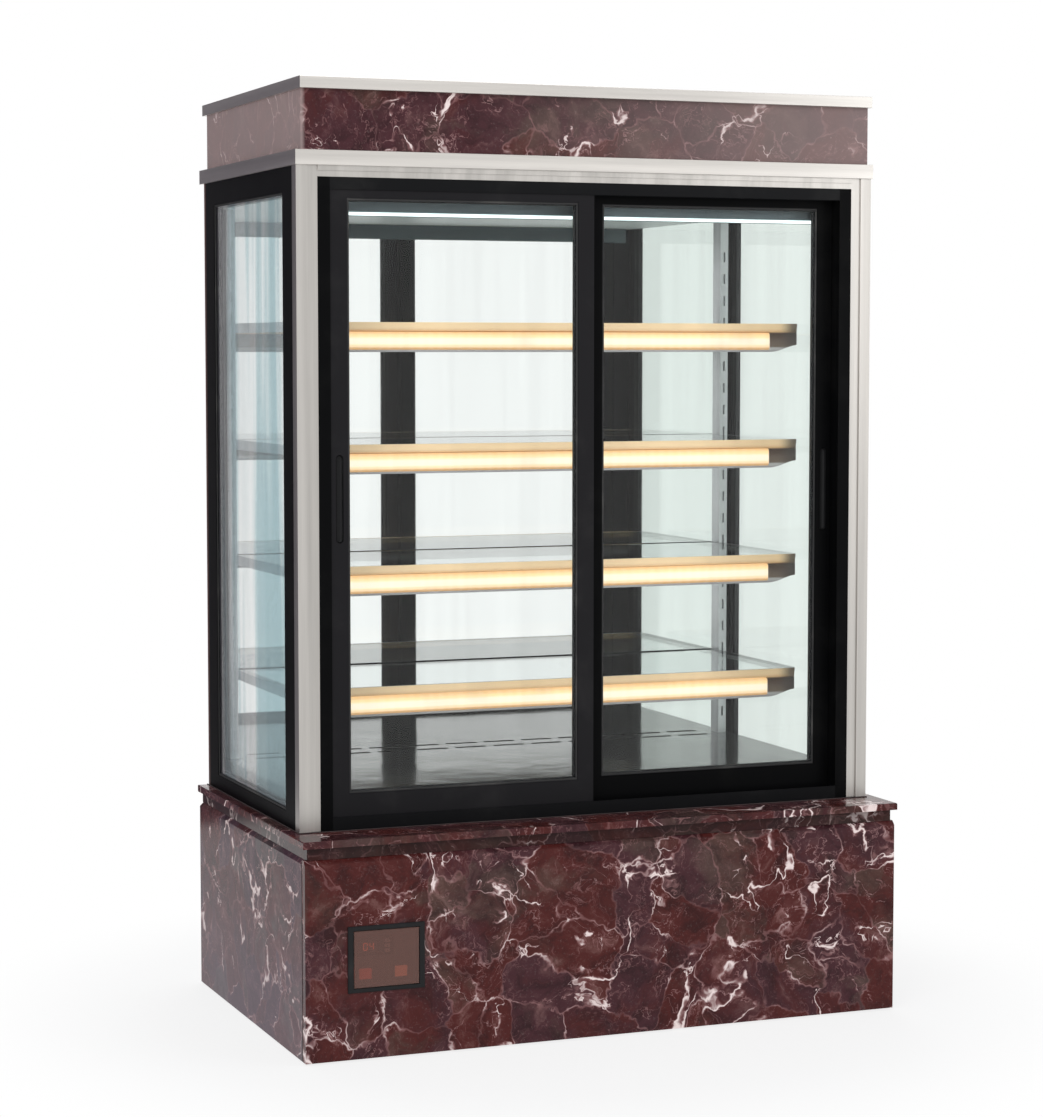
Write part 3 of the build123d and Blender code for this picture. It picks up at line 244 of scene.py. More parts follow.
def band(tree, value, low, high, to_low=0.0, to_high=1.0):
    """A smooth ramp from to_low to to_high as the value runs from low to high."""
    node = add_node(tree, "MapRange", Value=value, From_Min=low, From_Max=high, To_Min=to_low,
                    To_Max=to_high)
    node.interpolation_type = "SMOOTHSTEP"
    return node.outputs[0]


def pushed_about(tree, vector, scale, amount):
    """The vector shifted by a cloud, so that what is drawn on it wanders."""
    cloud = noise(tree, vector, scale, 4.0, 0.6).node.outputs["Color"]
    centred = operate(tree, "VectorMath", "SUBTRACT", cloud, (0.5, 0.5, 0.5)).outputs[0]
    return operate(tree, "VectorMath", "MULTIPLY_ADD", centred, (amount,) * 3, vector).outputs[0]


def cell_edges(tree, vector, scale, width):
    """Thin lines along the edges of cells, 1 on the line and 0 off it."""
    cells = add_node(tree, "TexVoronoi", Vector=vector, Scale=scale)
    cells.feature = "DISTANCE_TO_EDGE"
    return band(tree, cells.outputs["Distance"], 0.0, width, 1.0, 0.0)


def ridge(tree, value, width):
    """Lines where a cloud crosses its middle value."""
    off = math_node(tree, "ABSOLUTE", math_node(tree, "SUBTRACT", value, 0.5))
    return band(tree, off, 0.0, width, 1.0, 0.0)


def marble_group():
    """Veined breccia: broken pieces in three colours, pale veins with knots, and a web of hair veins."""
    tree, given, out = new_group(
        "Veined Stone",
        [("Vector", "v", None), ("Scale", "f", 5.0), ("Ground", "c", (0.1, 0.02, 0.02, 1)),
         ("Plum", "c", (0.1, 0.03, 0.05, 1)), ("Olive", "c", (0.1, 0.08, 0.06, 1)),
         ("Vein", "c", (0.8, 0.7, 0.7, 1)), ("Vein Amount", "f", 1.0), ("Roughness", "f", 0.15)],
        [("Color", "c"), ("Roughness", "f"), ("Height", "f")])

    def times(factor):
        return product(tree, given["Scale"], factor)

    vector = pushed_about(tree, given["Vector"], times(0.9), 0.16)
    crumpled = pushed_about(tree, vector, times(4.0), 0.035)
    pieces = add_node(tree, "TexVoronoi", Vector=crumpled, Scale=times(1.7))
    tone = add_node(tree, "SeparateColor", Color=pieces.outputs["Color"])
    clouds = noise(tree, vector, times(0.7), 6.0, 0.62, 0.4)
    grey = noise(tree, vector, times(1.1), 5.0, 0.6, 0.8)
    mottle = noise(tree, crumpled, times(3.4), 6.0, 0.66, 0.4)
    speck = noise(tree, given["Vector"], times(40.0), 4.0, 0.7)
    lean = times_plus(tree, tone.outputs[0], 0.30, product(tree, clouds, 0.85))
    colour = mix_colour(tree, band(tree, lean, 0.50, 0.66), given["Ground"], given["Plum"])
    lean = times_plus(tree, tone.outputs[1], 0.22, product(tree, grey, 0.9))
    colour = mix_colour(tree, band(tree, lean, 0.58, 0.74, 0.0, 0.62), colour, given["Olive"])
    colour = mix_colour(tree, band(tree, mottle, 0.32, 0.56, 0.62, 0.0), colour, (0.014, 0.005, 0.006))
    colour = mix_colour(tree, band(tree, mottle, 0.54, 0.74, 0.0, 0.22), colour, (0.42, 0.24, 0.22))
    colour = mix_colour(tree, band(tree, speck, 0.55, 0.75, 0.0, 0.06), colour, given["Vein"])

    swell = noise(tree, vector, times(3.2), 2.0, 0.5)
    here = noise(tree, vector, times(1.6), 3.0, 0.55, 0.3)
    there = noise(tree, vector, times(2.3), 3.0, 0.6, 0.3)
    strong = ridge(tree, noise(tree, crumpled, times(0.62), 3.5, 0.55, 0.6),
                   band(tree, swell, 0.40, 0.62, 0.003, 0.016))
    second = ridge(tree, noise(tree, crumpled, times(1.5), 4.0, 0.6, 0.5),
                   band(tree, swell, 0.42, 0.66, 0.004, 0.018))
    hair = ridge(tree, noise(tree, crumpled, times(3.6), 4.0, 0.6, 0.3), 0.012)
    veins = product(tree, band(tree, mottle, 0.60, 0.68), band(tree, there, 0.56, 0.68, 0.0, 0.9))
    for line, amount in (
            (strong, band(tree, here, 0.42, 0.54)),
            (second, band(tree, there, 0.48, 0.62, 0.0, 0.95)),
            (cell_edges(tree, crumpled, times(1.7), 0.028), band(tree, there, 0.38, 0.62, 0.16, 0.75)),
            (hair, band(tree, here, 0.36, 0.58, 0.08, 0.48))):
        veins = math_node(tree, "MAXIMUM", veins, product(tree, line, amount))
    uneven = product(tree, veins, band(tree, swell, 0.36, 0.56, 0.40, 1.0))
    veins = product(tree, uneven, given["Vein Amount"])
    veins.node.use_clamp = True
    halo = product(tree, band(tree, swell, 0.55, 0.75, 0.0, 0.20), band(tree, there, 0.5, 0.7))
    colour = mix_colour(tree, halo, colour, (0.30, 0.13, 0.13))
    pale = mix_colour(tree, band(tree, veins, 0.30, 0.85), (0.40, 0.20, 0.20), given["Vein"])
    rough = times_plus(tree, speck, 0.06, given["Roughness"])
    set_up(tree, out, Color=mix_colour(tree, veins, colour, pale),
           Roughness=times_plus(tree, veins, 0.05, rough), Height=times_plus(tree, veins, -0.5, speck))
    return tree


def brushed_group():
    """Fine lines of a brushed sheet, along the axis that the vector is least stretched on, and broader
    streaks that paint reflection bands into the colour.
    """
    tree, given, out = new_group(
        "Brushed Grain",
        [("Vector", "v", None), ("Color", "c", (0.6, 0.6, 0.6, 1)), ("Roughness", "f", 0.3),
         ("Contrast", "f", 0.12)],
        [("Color", "c"), ("Roughness", "f"), ("Height", "f")])
    lines = noise(tree, given["Vector"], 600.0, 3.0, 0.6)
    # The smears cloud roughens the sheet and, through the streak below, paints broad reflection bands into
    # the colour.
    smears = noise(tree, given["Vector"], 45.0, 2.0, 0.5)
    shade, painted_reflection_streak = (product(tree, given["Contrast"], math_node(tree, "SUBTRACT", cloud, 0.5))
                     for cloud in (lines, smears))
    light = times_plus(tree, shade, 1.6, times_plus(tree, painted_reflection_streak, 6.0, 1.0))
    rough = times_plus(tree, smears, 0.10, given["Roughness"])
    set_up(tree, out, Color=scaled(tree, given["Color"], light),
           Roughness=times_plus(tree, shade, 0.8, rough), Height=lines)
    return tree


def worn_coat_group():
    """A coated or moulded face: faint mottling, fine orange peel, and dust in broad patches."""
    tree, given, out = new_group(
        "Worn Coat",
        [("Vector", "v", None), ("Color", "c", (0.5, 0.5, 0.5, 1)), ("Dust", "c", (0.5, 0.48, 0.45, 1)),
         ("Roughness", "f", 0.4), ("Variation", "f", 0.15), ("Dust Amount", "f", 0.06),
         ("Grain Scale", "f", 900.0)],
        [("Color", "c"), ("Roughness", "f"), ("Height", "f")])
    broad = noise(tree, given["Vector"], 7.0, 5.0, 0.6, 0.3)
    grain = noise(tree, given["Vector"], given["Grain Scale"], 2.0, 0.5)
    light = times_plus(tree, math_node(tree, "SUBTRACT", broad, 0.5), given["Variation"], 1.0)
    tinted = scaled(tree, given["Color"], light)
    dust = product(tree, band(tree, broad, 0.5, 0.72), given["Dust Amount"])
    rough = times_plus(tree, broad, 0.10, given["Roughness"])
    set_up(tree, out, Color=mix_colour(tree, dust, tinted, given["Dust"]),
           Roughness=times_plus(tree, grain, 0.04, rough), Height=grain)
    return tree


def finger_smear_group():
    """Polish marks and faint smears on glass: only the roughness and the height change."""
    tree, given, out = new_group(
        "Glass Smears", [("Vector", "v", None), ("Roughness", "f", 0.0), ("Amount", "f", 0.03)],
        [("Roughness", "f"), ("Height", "f")])
    wipes = noise(tree, stretch(tree, given["Vector"], (1.0, 1.0, 0.35)), 9.0, 4.0, 0.6, 0.8)
    rough = times_plus(tree, band(tree, wipes, 0.52, 0.75), given["Amount"], given["Roughness"])
    set_up(tree, out, Roughness=rough, Height=wipes)
    return tree


MAKERS = {"marble": marble_group, "brushed": brushed_group, "coat": worn_coat_group,
          "smears": finger_smear_group}
GROUPS = {}


def group(name):
    if name not in GROUPS:
        GROUPS[name] = MAKERS[name]()
    return GROUPS[name]


# Materials

def plain_material(name):
    """A material and its principled shader."""
    material = bpy.data.materials.new(name)
    material.use_nodes = True
    return material, material.node_tree, material.node_tree.nodes["Principled BSDF"]


def start_material(name):
    """A material with its principled shader and object coordinates."""
    material, tree, shader = plain_material(name)
    return material, tree, shader, add_node(tree, "TexCoord").outputs["Object"]


def placed(tree, name, **inputs):
    """A group in a material's tree, its inputs wired or set by their names."""
    node = add_node(tree, "Group")
    node.node_tree = group(name)
    return set_up(tree, node, **inputs)


def bump(tree, shader, height, strength, distance):
    node = add_node(tree, "Bump", Strength=strength, Distance=distance, Height=height)
    tree.links.new(node.outputs[0], shader.inputs["Normal"])


def join_up(tree, shader, node, strength, distance, colour=None):
    """Wire a group's colour, or one made from it, and its roughness and height to the shader."""
    set_up(tree, shader, Base_Color=colour or node.outputs["Color"], Roughness=node.outputs["Roughness"])
    bump(tree, shader, node.outputs["Height"], strength, distance)


def marble_material(name, shift, vein_amount=1.0, reflection_lift=(1.0, 1.0, 1.0), polish=0.12, painted_light_fades=()):
    """Polished stone; the reflection lift brightens the stone's colours as a painted reflection, and each
    fade is (axis, where it starts, where it is full, colour, amount) and paints shade or reflection into the
    colour along that axis.
    """
    stone = settings("cabinet_stone")
    material, tree, shader, vector = start_material(name)
    turned = add_node(tree, "Mapping", Vector=vector, Location=shift, Rotation=(0.5, 0.3, 0.6))
    # The reflection lift multiplies the stone's colours: a painted reflection where it is not one.
    ground, plum, olive = (tuple(min(1.0, part * rise) for part, rise in zip(colour, reflection_lift))
                           for colour in (stone.ground, stone.plum, stone.olive))
    node = placed(tree, "marble", Vector=turned.outputs[0], Scale=stone.vein_scale, Ground=ground,
                  Plum=plum, Olive=olive, Vein=stone.vein, Vein_Amount=vein_amount,
                  Roughness=stone.roughness)
    colour = node.outputs["Color"]
    # Each fade mixes painted shade or a painted reflection into the colour along one axis.
    for axis, start, full, tint, amount in painted_light_fades:
        share = band(tree, coordinate(tree, vector, axis), start, full, 0.0, amount)
        colour = mix_colour(tree, share, colour, tint)
    join_up(tree, shader, node, 0.05, 0.0004, colour)
    set_up(tree, shader, Specular_IOR_Level=polish)
    return material


def steel_material(name, colour, roughness, grain, contrast=0.10):
    material, tree, shader, vector = start_material(name)
    node = placed(tree, "brushed", Vector=stretch(tree, vector, grain), Color=colour,
                  Roughness=roughness, Contrast=contrast)
    join_up(tree, shader, node, 0.08, 0.0002)
    set_up(tree, shader, Metallic=1.0)
    return material


def coat_material(name, colour, roughness, metallic=0.0, variation=0.15, dust=0.05, grain=900.0,
                  relief=0.06, gloss_coat=0.0, specular=0.5, depth=0.0003):
    """A coated or moulded face; relief is the bump's strength and depth its distance."""
    material, tree, shader, vector = start_material(name)
    node = placed(tree, "coat", Vector=vector, Color=colour, Roughness=roughness, Variation=variation,
                  Dust_Amount=dust, Grain_Scale=grain)
    join_up(tree, shader, node, relief, depth)
    set_up(tree, shader, Metallic=metallic, Coat_Weight=gloss_coat, Coat_Roughness=0.06,
           Specular_IOR_Level=specular)
    return material


def smear(tree, shader, vector, roughness, amount):
    node = placed(tree, "smears", Vector=vector, Roughness=roughness, Amount=amount)
    tree.links.new(node.outputs["Roughness"], shader.inputs["Roughness"])
    bump(tree, shader, node.outputs["Height"], 0.01, 0.0001)


def glass_material(name, colour, smears=0.02, ior=1.2, clarity=1.0, blur=0.0, painted_band_tint=None):
    """Glass with a light shadow; soft upright bands of a darker tint are painted into the pane as reflection
    bands, faint unless a band tint is given.
    """
    material, tree, shader, vector = start_material(name)
    smear(tree, shader, vector, blur, smears)
    # Upright bands of the darker tint: painted reflection bands in the pane's colour.
    upright = noise(tree, stretch(tree, vector, (1.0, 1.0, 0.04)), 17.0, 2.0, 0.5)
    shade = mix_colour(tree, band(tree, upright, 0.43, 0.55), colour,
                       painted_band_tint or tuple(part * 0.985 for part in colour))
    set_up(tree, shader, Base_Color=shade, Transmission_Weight=clarity, IOR=ior)
    clear = add_node(tree, "BsdfTransparent", Color=tuple(0.5 + 0.5 * part for part in colour))
    path = add_node(tree, "LightPath")
    mixed = mix_shaders(tree, path.outputs["Is Shadow Ray"], shader.outputs[0], clear.outputs[0])
    tree.links.new(mixed, tree.nodes["Material Output"].inputs["Surface"])
    return material


def mirror_material(name, silver):
    material, tree, shader, vector = start_material(name)
    smear(tree, shader, vector, 0.02, 0.03)
    patches = noise(tree, vector, 2.0, 3.0, 0.5)
    shade = mix_colour(tree, patches, silver, tuple(0.96 * part for part in silver))
    set_up(tree, shader, Base_Color=shade, Metallic=1.0)
    return material


STRIP_PITCH = 0.230     # from one shelf's top to the next
STRIP_DATUM = 0.642     # the lowest shelf's top


def strip_level(tree, vector):
    """Height over the last shelf top below it, so that all four strips share one material."""
    height = coordinate(tree, vector, "Z")
    raised = math_node(tree, "SUBTRACT", height, STRIP_DATUM - 2 * STRIP_PITCH)
    return math_node(tree, "MODULO", raised, STRIP_PITCH)


def ramp(tree, value, stops):
    """A colour ramp from (place, colour) stops."""
    node = add_node(tree, "ValToRGB", Fac=value)
    node.color_ramp.interpolation = "EASE"
    elements = node.color_ramp.elements
    while len(elements) < len(stops):
        elements.new(0.5)
    for element, (spot, colour) in zip(elements, stops):
        element.position = spot
        element.color = (*tuple(colour), 1.0)
    return node.outputs[0]


def lamp_material(name, colour, strength):
    """A lit opal face, a little uneven along its length."""
    material, tree, shader, vector = start_material(name)
    cloud = noise(tree, stretch(tree, vector, (1.0, 0.2, 0.2)), 5.0, 2.0, 0.5)
    dimmer = tuple(0.93 * part for part in colour)
    finish_lamp(tree, shader, mix_colour(tree, band(tree, cloud, 0.3, 0.7), dimmer, colour), cloud, strength)
    return material


def finish_lamp(tree, shader, colour, cloud, strength):
    set_up(tree, shader, Base_Color=scaled(tree, colour, 0.3), Emission_Color=colour,
           Emission_Strength=strength, Roughness=0.45)
    bump(tree, shader, cloud, 0.05, 0.0003)


def warm_strip_material():
    """The shelf strips' opal face: golden above, cream in the middle, tan at its lower edge."""
    lamps = settings("cabinet_lamps")
    strip_length = 0.92
    material, tree, shader, vector = start_material("Warm Strip")
    across = band(tree, strip_level(tree, vector), 0.178, 0.212)
    tone = ramp(tree, across, (
        (0.0, (0.62, 0.36, 0.15)), (0.10, (0.95, 0.72, 0.42)), (0.30, lamps.warm), (0.62, lamps.warm),
        (0.90, lamps.gold), (1.0, (0.85, 0.56, 0.26))))
    # Brown mixed into the glow at the cloud's peaks is a painted reflection.
    cloud = noise(tree, stretch(tree, vector, (1.0, 0.1, 0.9)), 6.0, 2.0, 0.5, 0.6)
    tone = mix_colour(tree, band(tree, cloud, 0.56, 0.74, 0.0, 0.42), tone, (0.55, 0.38, 0.25))
    turns = product(tree, coordinate(tree, vector, "X"), 2 * math.pi * lamps.diodes / strip_length)
    dots = math_node(tree, "SINE", turns)
    tone = mix_colour(tree, band(tree, dots, -1.0, 1.0, 0.0, 0.05), tone, (1.0, 1.0, 1.0))
    finish_lamp(tree, shader, tone, cloud, lamps.warm_strength)
    return material


def nosing_material():
    """The strips' housing: tan nosing, partly its own colour and partly painted glow from the strips, dark
    joint, bright lower lip and smoked ends.
    """
    material, tree, shader, vector = start_material("Strip Housing")
    across = band(tree, strip_level(tree, vector), 0.170, 0.230)
    # The tan-orange stops at the top are partly the nosing's own colour and partly painted glow from the
    # strips' leaking light.
    tone = ramp(tree, across, (
        (0.0, (0.30, 0.30, 0.30)), (0.09, (0.46, 0.46, 0.45)), (0.16, (0.16, 0.12, 0.09)),
        (0.76, (0.06, 0.033, 0.02)), (0.82, (0.80, 0.52, 0.26)), (0.95, (0.92, 0.68, 0.40))))
    from_middle = math_node(tree, "ABSOLUTE", coordinate(tree, vector, "X"))
    tone = mix_colour(tree, band(tree, from_middle, 0.478, 0.516, 0.0, 0.9), tone, (0.045, 0.036, 0.030))
    node = placed(tree, "coat", Vector=vector, Color=tone, Roughness=0.34, Variation=0.25,
                  Dust_Amount=0.02, Grain_Scale=700.0)
    join_up(tree, shader, node, 0.05, 0.0003)
    return material


# Coated and moulded finishes: name, colour or the metal setting that holds it, then what coat_material
# takes: roughness, metallic, variation, dust, grain, relief, gloss coat, specular and depth
COATS = {
    "frame": ("Black Frame", "frame_black", 0.36, 0.0, 0.3, 0.005, 1400.0, 0.03, 0.0, 0.04),
    # The front door's frame is a lighter copy of the black frame: painted light.
    "front door frame": ("Front Door Frame", "door_black", 0.34, 0.0, 0.3, 0.012, 1400.0, 0.03, 0.0, 0.12),
    "track": ("Track Black", (0.005, 0.0052, 0.006), 0.34, 0.0, 0.25, 0.015, 700.0, 0.03, 0.0, 0.08),
    "deck": ("Deck Grey", "deck_grey", 0.05, 0.0, 0.2, 0.02, 9.0, 0.8, 0.0, 0.28, 0.0016),
    "white": ("White Liner", (0.74, 0.79, 0.78), 0.35, 0.0, 0.06, 0.03, 800.0, 0.04),
    "lamp grey": ("Lamp Housing", (0.075, 0.105, 0.115), 0.4, 0.3, 0.2, 0.03),
    "galvanised": ("Galvanised Sheet", (0.42, 0.43, 0.44), 0.38, 0.85, 0.45, 0.08, 60.0, 0.05),
    "cladding": ("Maroon Cladding", (0.055, 0.018, 0.014), 0.45, 0.0, 0.25, 0.018),
    "black plastic": ("Black Plastic", (0.008, 0.0082, 0.009), 0.48, 0.0, 0.2, 0.03, 1800.0, 0.03, 0.0, 0.2),
    "white plastic": ("White Plastic", (0.66, 0.67, 0.65), 0.42, 0.0, 0.08, 0.06, 1500.0, 0.03),
    "grey plastic": ("Grey Plastic", (0.15, 0.155, 0.16), 0.46, 0.0, 0.15, 0.08, 1500.0, 0.02),
    "nylon": ("Nylon", (0.62, 0.60, 0.54), 0.5, 0.0, 0.1, 0.08, 1200.0, 0.1),
    "rubber": ("Black Rubber", (0.010, 0.010, 0.0105), 0.62, 0.0, 0.25, 0.10, 1600.0, 0.15),
    "enamel": ("Compressor Enamel", (0.012, 0.0125, 0.014), 0.28, 0.0, 0.25, 0.10, 260.0, 0.12, 0.4),
    "motor": ("Motor Casing", (0.18, 0.185, 0.19), 0.4, 0.8, 0.35, 0.10, 300.0, 0.1),
    "display": ("Display Window", (0.012, 0.006, 0.006), 0.12, 0.0, 0.1, 0.02, 900.0, 0.01, 0.8),
    "silicone": ("Stone Sealant", (0.030, 0.016, 0.016), 0.55, 0.0, 0.2, 0.06, 700.0, 0.12),
    "spacer": ("Glazing Spacer", (0.012, 0.013, 0.014), 0.4, 0.0, 0.2, 0.02, 900.0, 0.03, 0.0, 0.15),
}

# Brushed and drawn metals: name, colour, roughness, how the grain is stretched, contrast
METALS = {
    "zinc": ("Zinc Steel", (0.52, 0.53, 0.54), 0.34, (1.0, 1.0, 0.05)),
    "fins": ("Fin Aluminium", (0.64, 0.65, 0.66), 0.36, (1.0, 0.05, 1.0)),
    "copper": ("Drawn Copper", (0.62, 0.27, 0.15), 0.28, (0.3, 0.3, 0.3), 0.3),
}

# Lit plastics: name, colour, strength
LIT = {
    "lit red": ("Lit Red Rocker", (0.80, 0.10, 0.05), 0.7),
    "lit orange": ("Lit Orange Rocker", (0.95, 0.36, 0.20), 0.75),
    "digits": ("Display Digits", (1.0, 0.24, 0.12), 1.6),
}

MATERIALS = {}


def make_materials():
    metal = settings("cabinet_metal")
    glass = settings("cabinet_glass")
    lamps = settings("cabinet_lamps")
    # A 1.2 times brighter copy of the trim steel for the lips: a painted highlight.
    highlit_lip_steel = tuple(1.2 * part for part in metal.steel)
    sheen_mauve = (0.38, 0.30, 0.29)
    MATERIALS.update({
        "plinth stone": marble_material("Plinth Stone", (0.0, 0.0, 0.0)),
        # The side stone is a lighter, bluer copy of the plinth stone and turns purple-grey towards its foot:
        # painted reflection of the floor.
        "side stone": marble_material(
            "Side Stone", (3.1, 1.4, 0.2), 0.85, (1.0, 1.4, 1.7), 0.05,
            painted_light_fades=(("Z", 0.36, 0.02, (0.16, 0.11, 0.15), 0.30),)),
        # The ledge stone darkens to near black below the slab's edge: painted shade in the recess under the
        # ledge's nose.
        "ledge stone": marble_material(
            "Ledge Stone", (1.3, 2.2, 0.7), painted_light_fades=(("Z", 0.3920, 0.3914, (0.012, 0.005, 0.004), 0.62),)),
        # The canopy stone turns pale mauve towards its right end and on its left end face: painted sheen.
        "canopy stone": marble_material(
            "Canopy Stone", (5.2, 0.4, 2.1),
            painted_light_fades=(("X", -0.30, 0.60, sheen_mauve, 0.50), ("X", -0.560, -0.569, sheen_mauve, 0.66))),
        "steel upright": steel_material("Upright Steel", metal.steel, 0.30, (1.0, 1.0, 0.02)),
        "steel lip": steel_material("Lip Steel", highlit_lip_steel, 0.27, (0.02, 0.02, 1.0)),
        "glass": glass_material("Pane Glass", glass.tint),
        # The left window gets strong painted reflection bands.
        "left side glass": glass_material("Left Side Glass", (0.995, 1.0, 1.0), 0.01, 1.3,
                                          painted_band_tint=glass.painted_band_shade),
        "right side glass": glass_material("Right Side Glass", glass.side_tint, 0.01),
        "shelf glass": glass_material("Shelf Glass", glass.shelf_tint, 0.015),
        "smoked": glass_material("Smoked Cover", (0.30, 0.175, 0.15), 0.10, clarity=0.68, blur=0.07),
        "mirror": mirror_material("Back Mirror", glass.silver),
        "nosing": nosing_material(),
        "warm": warm_strip_material(),
        "cool": lamp_material("Ceiling Strip", lamps.cool, lamps.cool_strength),
    })
    for key, (name, colour, *values) in COATS.items():
        colour = getattr(metal, colour) if isinstance(colour, str) else colour
        MATERIALS[key] = coat_material(name, colour, *values)
    MATERIALS.update({key: steel_material(*values) for key, values in METALS.items()})
    MATERIALS.update({key: lamp_material(*values) for key, values in LIT.items()})


# Each finish and the CAD nodes that have it
FINISHES = {
    "plinth stone": "plinth_front_panel",
    "side stone": "plinth_side_panels",
    "ledge stone": "plinth_top",
    "canopy stone": "canopy_panels",
    "steel upright": "front_trim",
    "steel lip": "lower_lip top_lip",
    "galvanised": "plinth_rear_panel chassis condenser_shroud evaporator_fan_motors canopy_box",
    "zinc": "levelling_feet shelf_supports",
    "fins": "condenser_coil evaporator_coil",
    "copper": "refrigerant_pipes",
    "enamel": "compressor",
    "motor": "condenser_fan_motor",
    "black plastic": "power_inlet condenser_fan evaporator_fan_1 evaporator_fan_2 control_window_bezel "
                     "temperature_controller",
    "white plastic": "cold_tub key_down key_set key_up",
    "grey plastic": "drain_tray electrical_box control_panel",
    "nylon": "left_door_roller_1 left_door_roller_2 right_door_roller_1 right_door_roller_2",
    "smoked": "control_window_cover",
    "lit red": "power_switch",
    "lit orange": "light_switch",
    "deck": "deck",
    "cladding": "rear_wall",
    "mirror": "mirror",
    "white": "ceiling_panel",
    "cool": "ceiling_lamp",
    "frame": "side_frames door_jambs right_door_frame",
    "front door frame": "left_door_frame",
    "track": "bottom_track top_track",
    "glass": "left_door_glass right_door_glass",
    "left side glass": "side_glass_left",
    "right side glass": "side_glass_right",
    "shelf glass": "glass_shelf_1 glass_shelf_2 glass_shelf_3 glass_shelf_4",
    "nosing": "shelf_light_housings",
    "warm": "shelf_light_diffusers",
}


class CABINET_OT_finishes(Operator):
    """Give every carried-over CAD node its material"""

    bl_idname = "cabinet.finishes"
    bl_label = "Finishes"

    def execute(self, context):
        make_materials()
        for finish, names in FINISHES.items():
            for name in names.split():
                slots = nodes[name].data.materials
                slots.clear()
                slots.append(MATERIALS[finish])
        return {"FINISHED"}


# Mesh helpers

def link_new(name, data):
    thing = bpy.data.objects.new(name, data)
    bpy.context.scene.collection.objects.link(thing)
    return thing


def add_piece(name, build, finish, body, smooth=False):
    """Build a mesh and link it as a named piece that rides on a body."""
    mesh = mesh_from(build, name)
    mesh.materials.append(MATERIALS[finish])
    if smooth:
        for face in mesh.polygons:
            face.use_smooth = True
    piece = link_new(name, mesh)
    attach(piece, body)
    return piece


def mesh_from(build, name):
    made = bmesh.new()
    build(made)
    bmesh.ops.recalc_face_normals(made, faces=made.faces)
    mesh = bpy.data.meshes.new(name)
    made.to_mesh(mesh)
    made.free()
    return mesh


def add_bar(made, low, high, bevel=0.0, segments=2):
    """A bar between two corners, its edges rounded."""
    low, high = Vector(low), Vector(high)
    grown = bmesh.ops.create_cube(made, size=1.0)
    bmesh.ops.scale(made, vec=high - low, verts=grown["verts"])
    bmesh.ops.translate(made, vec=(low + high) / 2, verts=grown["verts"])
    if bevel > 0:
        edges = list({edge for vert in grown["verts"] for edge in vert.link_edges})
        bmesh.ops.bevel(made, geom=edges, offset=bevel, segments=segments, profile=0.5,
                        affect="EDGES", clamp_overlap=True)


def add_turned(made, profile, centre, axis, sides=24):
    """A turned piece: profile is (radius, height) pairs along an axis from the centre."""
    turn = Vector((0, 0, 1)).rotation_difference(Vector(axis)).to_matrix()
    centre = Vector(centre)
    rings = []
    for radius, height in profile:
        count = sides if radius > 1e-7 else 1
        angles = [2 * math.pi * step / sides for step in range(count)]
        rings.append([made.verts.new(
            centre + turn @ Vector((radius * math.cos(angle), radius * math.sin(angle), height)))
            for angle in angles])
    for first, second in zip(rings, rings[1:]):
        for step in range(sides):
            following = (step + 1) % sides
            corners = []
            for vert in (first[step % len(first)], first[following % len(first)],
                         second[following % len(second)], second[step % len(second)]):
                if vert not in corners:
                    corners.append(vert)
            made.faces.new(corners)


def join_rows(made, rows, closed=True):
    """Faces between rows of vertices that follow each other."""
    for first, second in zip(rows, rows[1:]):
        for step in range(len(first) if closed else len(first) - 1):
            after = (step + 1) % len(first)
            made.faces.new((first[step], first[after], second[after], second[step]))


def add_screw(made, centre, axis, radius, height=None):
    """A pan-head screw with a dimple in its middle."""
    height = height or radius * 0.45
    profile = [(0.0, height * 0.45), (radius * 0.28, height * 0.45), (radius * 0.34, height * 0.98),
               (radius * 0.62, height * 0.92), (radius * 0.86, height * 0.62), (radius, height * 0.18),
               (radius, 0.0)]
    add_turned(made, profile, centre, axis, 16)


def add_rect_ring(made, across, upright, plane, width, depth):
    """Four bars just inside a rectangle: plane 'xz' runs along X and Z at a Y, 'yz' along Y and Z at an X."""
    (a0, a1), (z0, z1) = across, upright
    near, far = sorted(depth)
    between = (z0 + width, z1 - width)
    for (s0, s1), (t0, t1) in (((a0, a1), (z0, z0 + width)), ((a0, a1), (z1 - width, z1)),
                               ((a0, a0 + width), between), ((a1 - width, a1), between)):
        if plane == "xz":
            add_bar(made, (s0, near, t0), (s1, far, t1), width * 0.3)
        else:
            add_bar(made, (near, s0, t0), (far, s1, t1), width * 0.3)


def sight(name, axis, groove):
    """What a frame's groove leaves to be seen of a pane: its limits along an axis and upright."""
    low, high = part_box(name)
    return (low[axis] + groove, high[axis] - groove), (low.z + groove, high.z - groove)


# Pieces

